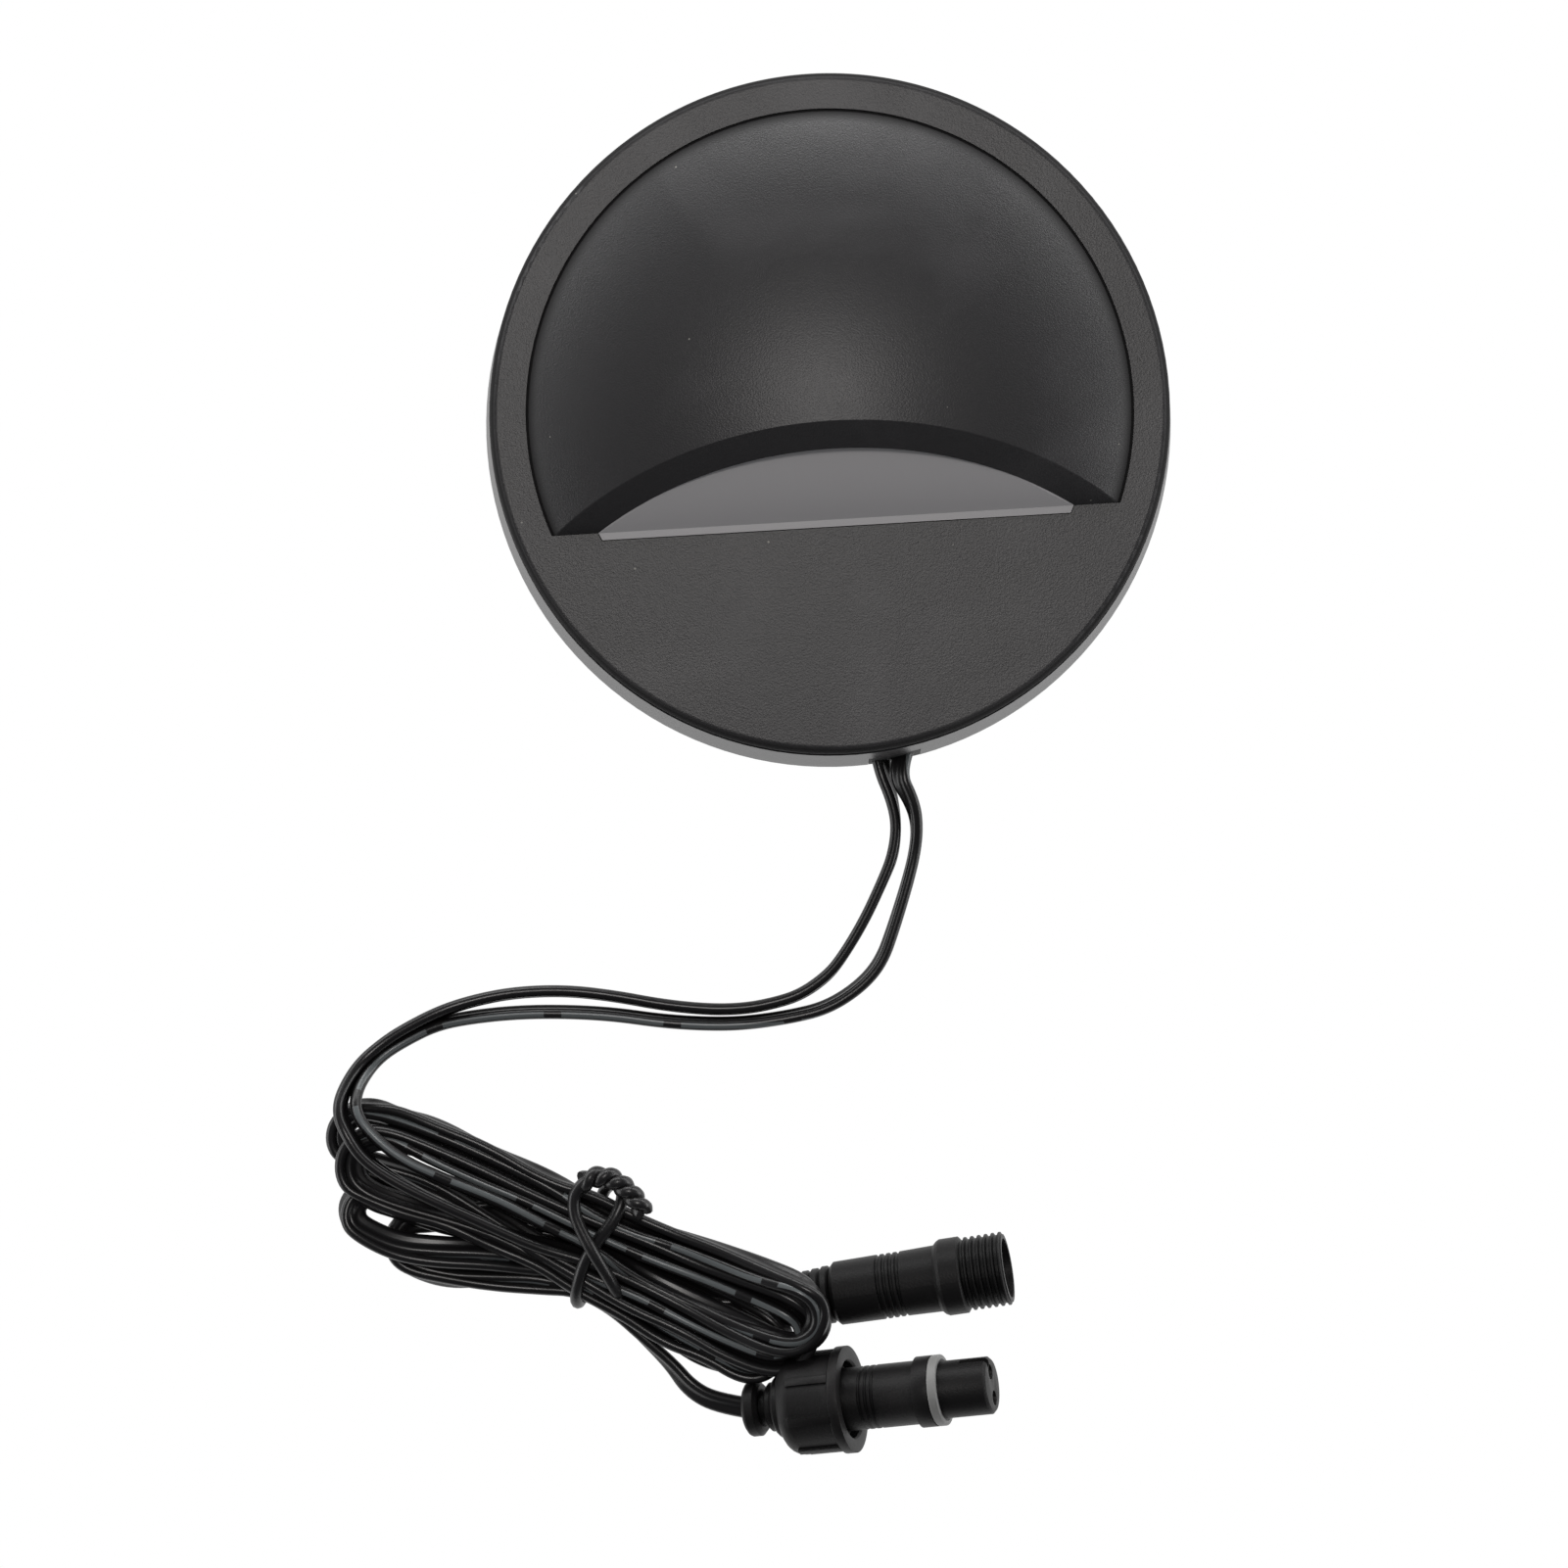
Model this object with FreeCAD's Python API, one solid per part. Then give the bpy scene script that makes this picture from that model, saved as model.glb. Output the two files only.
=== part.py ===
"""Round eyelid step light with two plug-in leads, lying on its back.

Millimetres. The origin is the centre of the wall face, +Z comes out of the front,
and +Y points to the top of the hood. The leads, their hank and the two connectors
lie on the plane of the wall face.
"""
import FreeCAD
import Part
import math
import os

# ---- front cover ----
COVER_R = 60.0  # outside radius
COVER_SKIRT = 4.0  # depth of the rolled edge
COVER_EDGE = 1.5  # rounding of the front edge
COVER_PLATE = 2.6  # thickness of the front plate
BODY_DEPTH = 18.0  # from the wall face to the front face
FLAT_W = 7.0  # flat ring between the hood and the edge
HOOD_R = COVER_R - FLAT_W  # the hood's outside radius on the front face
HOOD_H = 13.2  # the hood's outside height above the front face
HOOD_SIDE_WALL = 7.0  # measured along the front face
HOOD_TOP_WALL = 3.4
HOOD_IN_R = HOOD_R - HOOD_SIDE_WALL
HOOD_IN_H = HOOD_H - HOOD_TOP_WALL
CHORD_RISE = 34.2  # from the lowest point of the hood's circle to the chord
CHORD_Y = CHORD_RISE - HOOD_R  # the hood's opening starts on this line
CUT_ANGLE = 40.0  # the opening leans back this far from the front face, degrees
LIP_EDGE = 0.5  # rounding of the lip's outer edge
GROOVE_W = 0.5  # groove round the hood
GROOVE_DEPTH = 0.5
SPIGOT_DEPTH = 2.5  # how far the cover reaches into the housing
SPIGOT_WALL = 2.2
SPIGOT_GAP = 0.2

# ---- rear housing ----
PARTING_STEP = 0.3  # the housing stands this far outside the cover
DRAFT_OUT = 1.9  # how far the side wall leans out
HOUSING_WALL = 2.5  # at the parting line
HOUSING_TOP_R = COVER_R + PARTING_STEP  # outside radius at the parting line
HOUSING_BASE_R = HOUSING_TOP_R + DRAFT_OUT  # outside radius at the wall
HOUSING_IN_R = HOUSING_TOP_R - HOUSING_WALL
FLOOR_WALL = 2.0  # thickness of the central floor
CHANNEL_WALL = 2.4  # thickness of the floor round it
STEP_WALL = 2.4  # wall between the plate's recess and the channel
CHANNEL_W = 9.4  # width of the channel that holds the cover screws and the wall gasket
CHANNEL_R = HOUSING_IN_R - CHANNEL_W
RECESS_R = CHANNEL_R - STEP_WALL  # recess for the wall plate
RECESS_DEPTH = 3.2

# ---- screws through the housing into the cover ----
COVER_SCREW_R = CHANNEL_R + CHANNEL_W / 2  # radius of their circle
COVER_SCREW_ANGLES = (45.0, 135.0, 225.0, 315.0)
COVER_SCREW_LENGTH = 10.0
SHANK_R = 1.5
HEAD_R = 2.9
HEAD_H = 2.4
HEAD_GAP = 0.15
SHANK_GAP = 0.2
BOSS_R = 4.2  # housing boss
COVER_BOSS_R = 3.2
BOSS_TOP = 9.0  # the two bosses meet here

# ---- seals ----
GASKET_H = 1.0  # foam ring against the wall
GASKET_GAP = 0.2
SEAL_W = 1.2  # ring between cover and housing
SEAL_H = 1.0

# ---- wall plate and its twist lock ----
TURN_GAP = 0.3  # between the tabs and the recess
LEDGE_REACH = 3.5  # how far the ledges reach in over the tabs
PLATE_GAP = 0.2  # between the plate's disc and the ledges
LEDGE_IN_R = RECESS_R - LEDGE_REACH
PLATE_R = LEDGE_IN_R - PLATE_GAP
PLATE_H = 2.9
TAB_R = RECESS_R - TURN_GAP
TAB_H = 1.5
TAB_WIDTH = 26.0  # degrees
LEDGE_H = 1.2
LEDGE_WIDTH = 34.0  # degrees
LOCK_ANGLES = (90.0, 210.0, 330.0)
UNLOCK_ANGLE = 38.0  # degrees of twist from locked to free
STOP_WIDTH = 3.0  # degrees
STOP_GAP = 0.5  # degrees
STOP_H = 1.8
SLOT_INSET = 12.3  # from the plate's edge to a wall screw
SLOT_X = PLATE_R - SLOT_INSET
SLOT_W = 4.5
SLOT_L = 10.0
SLOT_HEAD_W = 8.4
SLOT_HEAD_DEPTH = 1.7

# ---- lens and what clamps it ----
LENS_WALL = 1.8
LENS_START_ANGLE = 45.0  # slope of its curved face where it leaves the flush band, degrees
LENS_CREST_GAP = 0.08  # the curve's crest would pass this far below the hood's roof
LENS_R = (HOOD_IN_H - LENS_CREST_GAP) / (1 - math.cos(math.radians(LENS_START_ANGLE)))
LENS_GAP = 0.15
LENS_REACH = 21.3  # from the chord to the top edge of the curved face
LENS_BACK_Y = CHORD_Y + LENS_REACH
LEDGE_W = 1.4  # width of the flush band along the chord
LEDGE_LOW_Y = CHORD_Y - LEDGE_W
LENS_RIM_SIDE = 3.4  # the clamped rim's reach outside the hood's cavity
LENS_RIM_LOW = 3.8  # the same below the flush band
LENS_RIM_R = HOOD_IN_R + LENS_RIM_SIDE
LENS_RIM_Y = LEDGE_LOW_Y - LENS_RIM_LOW
LENS_RIM_H = 1.4
LENS_FOOT_W = 1.8  # wall from the rim up to the flush band
GASKET_FRAME_H = 0.5
FRAME_W = 3.2  # the rim's width inside the gasket
FUNNEL_INSET = 2.5  # reflector's mouth inside the hood's cavity
FUNNEL_LOW_INSET = 2.2  # the same from the flush band's lower edge
FUNNEL_TAPER = 3.5
FUNNEL_LOW_TAPER = 3.0
FUNNEL_TOP_R = HOOD_IN_R - FUNNEL_INSET
FUNNEL_TOP_Y = LEDGE_LOW_Y + FUNNEL_LOW_INSET
FUNNEL_LOW_R = FUNNEL_TOP_R - FUNNEL_TAPER
FUNNEL_LOW_Y = FUNNEL_TOP_Y + FUNNEL_LOW_TAPER
FUNNEL_WALL = 1.3
REFLECTOR_FLANGE = 1.2

# ---- LED board on its heat spreader ----
BOARD_MARGIN = 0.2  # the board's edge outside the reflector
BOARD_LOW_MARGIN = 0.3
BOARD_R = FUNNEL_LOW_R + FUNNEL_WALL + BOARD_MARGIN
BOARD_Y = FUNNEL_LOW_Y - FUNNEL_WALL - BOARD_LOW_MARGIN
BOARD_H = 1.2
SPREADER_MARGIN = 2.5  # the spreader's edge outside the board
SPREADER_LOW_MARGIN = 2.0
SPREADER_R = BOARD_R + SPREADER_MARGIN
SPREADER_Y = BOARD_Y - SPREADER_LOW_MARGIN
SPREADER_H = 1.5
POST_R = 2.8
POST_H = 2.3
POST_INSET = 7.5  # from the board's edge
SIDE_POST_RISE = 24.6  # of the two side posts, from the board's straight edge
POST_REACH = BOARD_R - POST_INSET
SIDE_POST_Y = BOARD_Y + SIDE_POST_RISE
POSTS = ((-POST_REACH, SIDE_POST_Y), (POST_REACH, SIDE_POST_Y), (0.0, POST_REACH))
BOARD_SCREW_R = 1.25
BOARD_SCREW_HEAD_R = 2.6
BOARD_SCREW_HEAD_H = 1.6
SCREW_BITE = 3.0  # depth of a small screw in its post
LED_COUNT = 9
LED_PITCH = 7.5
LED_SIZE = (3.5, 2.8, 0.8)
LED_RISE = 9.0  # from the reflector's straight side
LED_Y = FUNNEL_LOW_Y + LED_RISE
TAB_X = -10.5  # solder tab for the feed wires
TAB_SIZE = (12.0, 4.6)

# ---- driver board ----
DRIVER_X = -8.0
DRIVER_SIZE = (38.0, 16.6, 1.2)
STANDOFF_H = 2.0
STANDOFF_R = 2.2
STANDOFF_INSET = 2.5
DRIVER_SCREW_R = 1.0
DRIVER_SCREW_HEAD_R = 1.9
DRIVER_SCREW_HEAD_H = 1.2
RECTIFIER_SIZE = (8.0, 6.0, 2.6)
RECTIFIER_INSET = 6.5  # its middle, from the board's left end
RECTIFIER_Y = 1.2  # from the board's middle
CAPACITOR_R = 3.15
CAPACITOR_L = 11.0
CAPACITOR_X = 3.0
CAPACITOR_INSET = 0.5  # from the board's lower edge
INDUCTOR_R = 3.5
INDUCTOR_H = 4.5
INDUCTOR_WAIST = 0.6  # depth of its winding space
INDUCTOR_INSET = 8.0  # its middle, from the board's right end
INDUCTOR_Y = 1.4
CHIP_SIZE = (5.0, 4.0, 1.6)
CHIP_AT = (4.0, 5.4)
RESISTOR_SIZE = (3.2, 1.6, 0.6)
RESISTOR_COUNT = 4
RESISTOR_PITCH = 3.8
FIRST_RESISTOR_AT = (-6.0, 0.6)

# ---- leads: flat, two cores, standing on edge ----
LEAD_T = 2.0  # thickness
LEAD_W = 4.0  # width
EXIT_X = 8.3  # middle of the notch in the lower edge
LEAD_PITCH = 5.4  # between the two leads in the gland
NOTCH_W = 9.4
NOTCH_H = 7.2
GLAND_W = 14.0
GLAND_H = 8.6
GLAND_FLOOR = 1.8
GLAND_L = 6.3
GLAND_BACK_Y = GLAND_L - HOUSING_IN_R
RIB_W = 2.4  # ribs behind the gland
RIB_T = 1.5
STUB_L = 5.5  # how far the leads reach in behind the gland
STUB_END_Y = GLAND_BACK_Y + STUB_L
WIRE_SPACE = 5.1  # between the leads' ends and the driver board
DRIVER_Y = STUB_END_Y + WIRE_SPACE + DRIVER_SIZE[1] / 2
CLAMP_GAP = 0.2
CLAMP_SIZE = (20.0, 3.6, 2.0)
CLAMP_SCREW_PITCH = 15.0
CLAMP_SCREW_HEAD_R = 2.1
CLAMP_SCREW_HEAD_H = 1.6
CORE_R = 0.6  # insulated core inside the light
CORE_PADS = (8.0, 5.8, 3.6, 1.4)  # from the driver board's right end, along X

# Free stretch of each lead, from the gland to the hank.
LEAD_A = (
    (11.0, -57.8), (11.7, -73.0), (10.2, -85.5), (5.2, -97.2), (-4.0, -105.2), (-16.0, -108.6),
    (-30.0, -107.9), (-44.0, -105.8), (-58.5, -103.6), (-71.0, -103.4), (-81.5, -106.2),
    (-89.3, -111.4), (-92.9, -117.6), (-89.5, -125.0),
)
LEAD_B = (
    (5.6, -57.8), (8.4, -71.5), (6.7, -80.0), (1.4, -89.0), (-4.6, -97.6), (-12.5, -103.9),
    (-24.5, -105.2), (-37.0, -103.2), (-48.5, -100.6), (-58.5, -98.4), (-69.5, -99.0),
    (-81.0, -102.6), (-91.0, -107.4), (-96.4, -113.8), (-96.6, -121.0), (-92.4, -128.4),
)
# From under the hank up into the socket connector's boot; the third value is the height of its lower edge.
TAIL = (
    (-43.0, -163.5, 0.2), (-38.5, -168.2, 0.4), (-35.2, -172.8, 1.4), (-30.4, -175.4, 2.8),
    (-24.1, -176.4, 4.2),
)

# ---- hank of both leads and its tie ----
HANK_H = 8.4  # two layers of leads on edge
HANK_OUTLINE = (
    (-93.0, -118.6), (-80.5, -119.4), (-53.5, -133.2), (-24.0, -147.4), (-11.0, -154.4),
    (-8.8, -160.0), (-14.0, -165.0), (-24.6, -169.8), (-34.0, -168.4), (-43.5, -161.2),
    (-54.6, -155.2), (-80.0, -151.2), (-91.6, -145.0), (-97.6, -135.4), (-97.6, -124.4),
)
HANK_ROUND = 1.6
TIE_AT = (-51.2, -146.0)
TIE_HEADING = 68.0  # degrees, across the hank
TIE_SPAN = 23.6
TIE_W = 2.6
TIE_T = 1.6
KNOT_R = 2.0
KNOT_L = 9.0

# ---- pin connector ----
PIN_AT = (-8.3, -156.7)
PIN_HEADING = 6.9
PIN_TILT = 10.5
PIN_BODY_R = 5.65
PIN_FRONT_R = 5.9
PIN_BODY_L = 19.2
COLLAR_R = 6.8
COLLAR_L = 5.1
THREAD_R = 6.5
THREAD_ROOT_R = 6.05
THREAD_PITCH = 1.25
THREAD_TURNS = 6
PIN_BOOT_R = 4.5  # its last rib, which rests on the floor
PIN_BOOT_L = 9.0
PIN_BOOT_RIBS = 5
PIN_BOOT_STEP = 0.16  # each rib is this much larger than the one behind it
PIN_CAVITY_R = 5.25
PIN_CAVITY_DEPTH = 11.0
CONTACT_R = 0.8
CONTACT_PITCH = 4.2
CONTACT_L = 6.0

# ---- socket connector ----
SOCKET_AT = (-24.9, -176.5)
SOCKET_HEADING = 5.9
SOCKET_TILT = 17.0
BOOT_R = 4.9  # rear flange
BOOT_FLANGE_L = 3.0
BOOT_GROOVE_R = 3.3
BOOT_GROOVE_L = 1.2
BOOT_COLLAR_R = 4.35
BOOT_COLLAR_L = 1.5
SOCKET_BODY_R = 5.55
SOCKET_BODY_L = 26.5
SHOULDER_R = 6.15
SHOULDER_L = 2.9
SEAT_R = 5.4
RING_R = 6.2
RING_L = 1.7
TIP_R = 5.0
TIP_L = 8.7
HOLE_R = 0.95
NUT_R = 9.4
NUT_SKIN_R = 8.9
NUT_L = 13.8
NUT_SHOULDER = 3.4
NUT_RIM = 1.9
NUT_BACK = 3.4
NUT_BORE_GAP = 0.06
NUT_THREAD_R = 6.75
NUT_RIB_COUNT = 8
NUT_RIB_W = 1.2
NUT_RIB_R = 9.35
NUT_RIB_SETBACK = 0.5  # from the end of the rounded shoulder
NUT_RIB_PHASE = 12.0  # degrees from the top to the first rib
NUT_START = 5.8  # from the boot's back end

# ---- levels and places that follow ----
FACE_Z = BODY_DEPTH
PARTING_Z = FACE_Z - COVER_SKIRT
UNDER_Z = FACE_Z - COVER_PLATE
FLOOR_Z = RECESS_DEPTH + FLOOR_WALL
CHANNEL_Z = GASKET_H + CHANNEL_WALL
GASKET_FRAME_Z = UNDER_Z - GASKET_FRAME_H
LENS_RIM_Z = GASKET_FRAME_Z - LENS_RIM_H
REFLECTOR_Z = LENS_RIM_Z - REFLECTOR_FLANGE
SPREADER_Z = FLOOR_Z + POST_H
BOARD_Z = SPREADER_Z + SPREADER_H
BOARD_TOP = BOARD_Z + BOARD_H
DRIVER_Z = FLOOR_Z + STANDOFF_H
DRIVER_TOP = DRIVER_Z + DRIVER_SIZE[2]
STUB_TOP = FLOOR_Z + LEAD_W
FAR = 200.0  # larger than the light, for cutting tools


def vec(x, y, z):
    return FreeCAD.Vector(x, y, z)


def disc(radius, low, high, x=0.0, y=0.0):
    return Part.makeCylinder(radius, high - low, vec(x, y, low))


def ring(outer, inner, low, high):
    return disc(outer, low, high).cut(disc(inner, low, high))


def block(x_low, x_high, y_low, y_high, low, high):
    return Part.makeBox(x_high - x_low, y_high - y_low, high - low, vec(x_low, y_low, low))


def brick(x, y, low, size):
    """A box of the given size, centred on x and y, standing on low."""
    return block(x - size[0] / 2, x + size[0] / 2, y - size[1] / 2, y + size[1] / 2, low, low + size[2])


def sector(outer, inner, low, high, centre, width):
    """Part of a ring, width degrees wide, round the angle centre."""
    whole = Part.makeCylinder(outer, high - low, vec(0, 0, low), vec(0, 0, 1), width)
    core = Part.makeCylinder(inner, high - low, vec(0, 0, low), vec(0, 0, 1), width)
    piece = whole.cut(core)
    piece.rotate(vec(0, 0, 0), vec(0, 0, 1), centre - width / 2)
    return piece


def polar(radius, angle):
    return radius * math.cos(math.radians(angle)), radius * math.sin(math.radians(angle))


def moon(radius, y_low, low, high):
    """The part of a disc above the line y = y_low."""
    return disc(radius, low, high).common(block(-FAR, FAR, y_low, FAR, low, high))


def moon_wire(radius, y_low, z):
    half = math.sqrt(radius ** 2 - y_low ** 2)
    left, right, top = vec(-half, y_low, z), vec(half, y_low, z), vec(0, radius, z)
    return Part.Wire([Part.LineSegment(left, right).toShape(), Part.Arc(right, top, left).toShape()])


def funnel(top_r, top_y, top_z, low_r, low_y, low_z):
    return Part.makeLoft([moon_wire(low_r, low_y, low_z), moon_wire(top_r, top_y, top_z)], True, True)


def cap(radius, height):
    """A spherical cap standing on the front face."""
    sphere_r = (radius ** 2 + height ** 2) / (2 * height)
    sphere = Part.makeSphere(sphere_r, vec(0, 0, FACE_Z + height - sphere_r))
    return sphere.common(block(-FAR, FAR, -FAR, FAR, FACE_Z, FACE_Z + height))


def turned(outline):
    """A turned solid along +X from (x, radius) corners; the axis closes it."""
    points = [vec(x, 0, r) for x, r in outline]
    points = [vec(outline[0][0], 0, 0)] + points + [vec(outline[-1][0], 0, 0)]
    kept = [p for i, p in enumerate(points) if i == 0 or (p - points[i - 1]).Length > 1e-6]
    face = Part.Face(Part.makePolygon(kept + [kept[0]]))
    return face.revolve(vec(0, 0, 0), vec(1, 0, 0), 360)


def along_x(radius, start, end, y=0.0, z=0.0):
    return Part.makeCylinder(radius, end - start, vec(start, y, z), vec(1, 0, 0))


def fused(shapes):
    whole = shapes[0]
    for shape in shapes[1:]:
        whole = whole.fuse(shape)
    return whole.removeSplitter()


def cut_all(shape, tools):
    for tool in tools:
        shape = shape.cut(tool)
    return shape


def group(shapes):
    return Part.makeCompound(shapes)


# ---- routes ----


def rounded_route(points, name):
    """Straight runs joined by tangent arcs, each as large as its two runs allow."""
    edges, last, radii = [], points[0], []
    for before, here, after in zip(points, points[1:], points[2:]):
        run_in, run_out = here - before, after - here
        reach = 0.45 * min(run_in.Length, run_out.Length)
        half_turn = run_in.getAngle(run_out) / 2
        radii.append(reach / math.tan(half_turn))
        way_in, way_out = run_in.normalize(), run_out.normalize()
        start, end = here - way_in * reach, here + way_out * reach
        inward = (way_out - way_in).normalize()
        middle = here + inward * (radii[-1] / math.cos(half_turn) - radii[-1])
        edges.append(Part.LineSegment(last, start).toShape())
        edges.append(Part.Arc(start, middle, end).toShape())
        last = end
    edges.append(Part.LineSegment(last, points[-1]).toShape())
    print(name, "radii", " ".join(f"{r:.1f}" for r in radii))
    return Part.Wire(edges)


def report_volume(name, solid, section, wire):
    expected = section * wire.Length
    print(f"{name} volume {solid.Volume:.1f}, section x length {expected:.1f}, length {wire.Length:.1f}")


def round_wire(points, radius, name):
    wire = rounded_route([vec(*p) for p in points], name)
    way = vec(*points[1]) - vec(*points[0])
    section = Part.Wire(Part.makeCircle(radius, vec(*points[0]), way))
    solid = wire.makePipeShell([section], True, False)
    report_volume(name, solid, math.pi * radius ** 2, wire)
    return solid


def stadium(centre, way):
    """The lead's section on edge: two half circles and two flats, across the direction way."""
    side = vec(-way.y, way.x, 0).normalize() * (LEAD_T / 2)
    up = vec(0, 0, LEAD_W / 2 - LEAD_T / 2)
    peak = vec(0, 0, LEAD_W / 2)
    a, b, c, d = centre - side - up, centre + side - up, centre + side + up, centre - side + up
    return Part.Wire([
        Part.LineSegment(b, c).toShape(),
        Part.Arc(c, centre + peak, d).toShape(),
        Part.LineSegment(d, a).toShape(),
        Part.Arc(a, centre - peak, b).toShape(),
    ])


def on_floor(points):
    return [(x, y, 0.0) for x, y in points]


def flat_lead(points, name):
    """A lead on edge along a route of its lower edge."""
    route = [vec(x, y, z + LEAD_W / 2) for x, y, z in points]
    wire = rounded_route(route, name)
    sweep = Part.BRepOffsetAPI.MakePipeShell(wire)
    sweep.setBiNormalMode(vec(0, 0, 1))
    sweep.add(stadium(route[0], route[1] - route[0]))
    sweep.build()
    sweep.makeSolid()
    solid = sweep.shape()
    section = math.pi * LEAD_T ** 2 / 4 + LEAD_T * (LEAD_W - LEAD_T)
    report_volume(name, solid, section, wire)
    return solid


def rounded_outline(points, share=0.4):
    """A closed outline with each corner replaced by a tangent arc."""
    edges, starts, ends = [], [], []
    count = len(points)
    for i, here in enumerate(points):
        before, after = points[i - 1], points[(i + 1) % count]
        run_in, run_out = here - before, after - here
        reach = share * min(run_in.Length, run_out.Length)
        half_turn = run_in.getAngle(run_out) / 2
        radius = reach / math.tan(half_turn)
        way_in, way_out = run_in.normalize(), run_out.normalize()
        starts.append(here - way_in * reach)
        ends.append(here + way_out * reach)
        inward = (way_out - way_in).normalize()
        middle = here + inward * (radius / math.cos(half_turn) - radius)
        edges.append(Part.Arc(starts[-1], middle, ends[-1]).toShape())
    lines = [Part.LineSegment(ends[i], starts[(i + 1) % count]).toShape() for i in range(count)]
    joined = [edge for pair in zip(edges, lines) for edge in pair]
    return Part.Wire(joined)


# ---- front cover ----


def cover_profile():
    """Half section of the cover's disc and rolled edge."""
    r, e = COVER_R, COVER_EDGE
    corner = e * (1 - math.sqrt(0.5))
    edges = [
        Part.LineSegment(vec(0, 0, UNDER_Z), vec(0, 0, FACE_Z)).toShape(),
        Part.LineSegment(vec(0, 0, FACE_Z), vec(r - e, 0, FACE_Z)).toShape(),
        Part.Arc(vec(r - e, 0, FACE_Z), vec(r - corner, 0, FACE_Z - corner), vec(r, 0, FACE_Z - e)).toShape(),
        Part.LineSegment(vec(r, 0, FACE_Z - e), vec(r, 0, PARTING_Z)).toShape(),
        Part.LineSegment(vec(r, 0, PARTING_Z), vec(HOUSING_IN_R, 0, PARTING_Z)).toShape(),
        Part.LineSegment(vec(HOUSING_IN_R, 0, PARTING_Z), vec(HOUSING_IN_R, 0, UNDER_Z)).toShape(),
        Part.LineSegment(vec(HOUSING_IN_R, 0, UNDER_Z), vec(0, 0, UNDER_Z)).toShape(),
    ]
    return Part.Face(Part.Wire(edges))


def opening_side():
    """Everything in front of the plane of the hood's opening."""
    tool = block(-FAR, FAR, -FAR, FAR, 0, FAR)
    tool.rotate(vec(0, 0, 0), vec(1, 0, 0), CUT_ANGLE)
    tool.translate(vec(0, CHORD_Y, FACE_Z))
    return tool


def lip_edges(hood):
    """The outer edge of the hood's opening."""
    slope = math.tan(math.radians(CUT_ANGLE))
    found = []
    for edge in hood.Edges:
        middle = edge.valueAt((edge.FirstParameter + edge.LastParameter) / 2)
        on_plane = abs((middle.z - FACE_Z) - (middle.y - CHORD_Y) * slope) < 0.05
        if on_plane and middle.z > FACE_Z + HOOD_H / 2:
            found.append(edge)
    return found


def hood_cavity():
    inside = cap(HOOD_IN_R, HOOD_IN_H).fuse(disc(HOOD_IN_R, UNDER_Z, FACE_Z))
    return inside.common(block(-FAR, FAR, LEDGE_LOW_Y, FAR, UNDER_Z, FACE_Z + HOOD_H))


def front_cover():
    disc_part = cover_profile().revolve(vec(0, 0, 0), vec(0, 0, 1), 360)
    spigot_r = HOUSING_IN_R - SPIGOT_GAP
    spigot = ring(spigot_r, spigot_r - SPIGOT_WALL, PARTING_Z - SPIGOT_DEPTH, UNDER_Z)
    hood = cap(HOOD_R, HOOD_H).cut(opening_side())
    hood = hood.makeFillet(LIP_EDGE, lip_edges(hood))
    groove = ring(HOOD_R + GROOVE_W, HOOD_R, FACE_Z - GROOVE_DEPTH, FACE_Z)
    groove = groove.common(block(-FAR, FAR, CHORD_Y, FAR, 0, FACE_Z))
    bosses, pilots = [], []
    for angle in COVER_SCREW_ANGLES:
        x, y = polar(COVER_SCREW_R, angle)
        bosses.append(disc(COVER_BOSS_R, BOSS_TOP, UNDER_Z + COVER_PLATE / 2, x, y))
        pilots.append(disc(SHANK_R, BOSS_TOP, screw_top(), x, y))
    whole = fused([disc_part, spigot, hood] + bosses)
    return cut_all(whole, [hood_cavity(), groove] + pilots)


def screw_base():
    """Level where the cover screws' heads meet the housing's bosses."""
    return GASKET_H + HEAD_H + HEAD_GAP


def screw_top():
    return screw_base() + COVER_SCREW_LENGTH


# ---- lens group ----


def lens_centre():
    """Axis of the lens's curved face, as y and z."""
    slope = math.radians(LENS_START_ANGLE)
    return CHORD_Y + LENS_R * math.sin(slope), FACE_Z - LENS_R * math.cos(slope)


def lens():
    y, z = lens_centre()
    outer = Part.makeCylinder(LENS_R, 2 * FAR, vec(-FAR, y, z), vec(1, 0, 0))
    inner = Part.makeCylinder(LENS_R - LENS_WALL, 2 * FAR, vec(-FAR, y, z), vec(1, 0, 0))
    free_r = HOOD_IN_R - LENS_GAP
    space = cap(free_r, HOOD_IN_H - LENS_GAP).fuse(disc(free_r, UNDER_Z, FACE_Z))
    space = space.common(block(-FAR, FAR, LEDGE_LOW_Y + LENS_GAP, LENS_BACK_Y, UNDER_Z, FACE_Z + HOOD_H))
    shell = space.common(outer.cut(inner))
    foot_y = LEDGE_LOW_Y + LENS_GAP
    foot = moon(free_r, foot_y, LENS_RIM_Z, FACE_Z)
    foot = foot.common(block(-FAR, FAR, foot_y, foot_y + LENS_FOOT_W, LENS_RIM_Z, FACE_Z))
    rim = moon(LENS_RIM_R, LENS_RIM_Y, LENS_RIM_Z, GASKET_FRAME_Z)
    window = moon(LENS_RIM_R - FRAME_W - 2 * FUNNEL_WALL, FUNNEL_TOP_Y, LENS_RIM_Z, GASKET_FRAME_Z)
    return fused([rim.cut(window), foot, shell])


def lens_gasket():
    frame = moon(LENS_RIM_R, LENS_RIM_Y, GASKET_FRAME_Z, UNDER_Z)
    return frame.cut(moon(LENS_RIM_R - FRAME_W, LEDGE_LOW_Y, GASKET_FRAME_Z, UNDER_Z))


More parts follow.
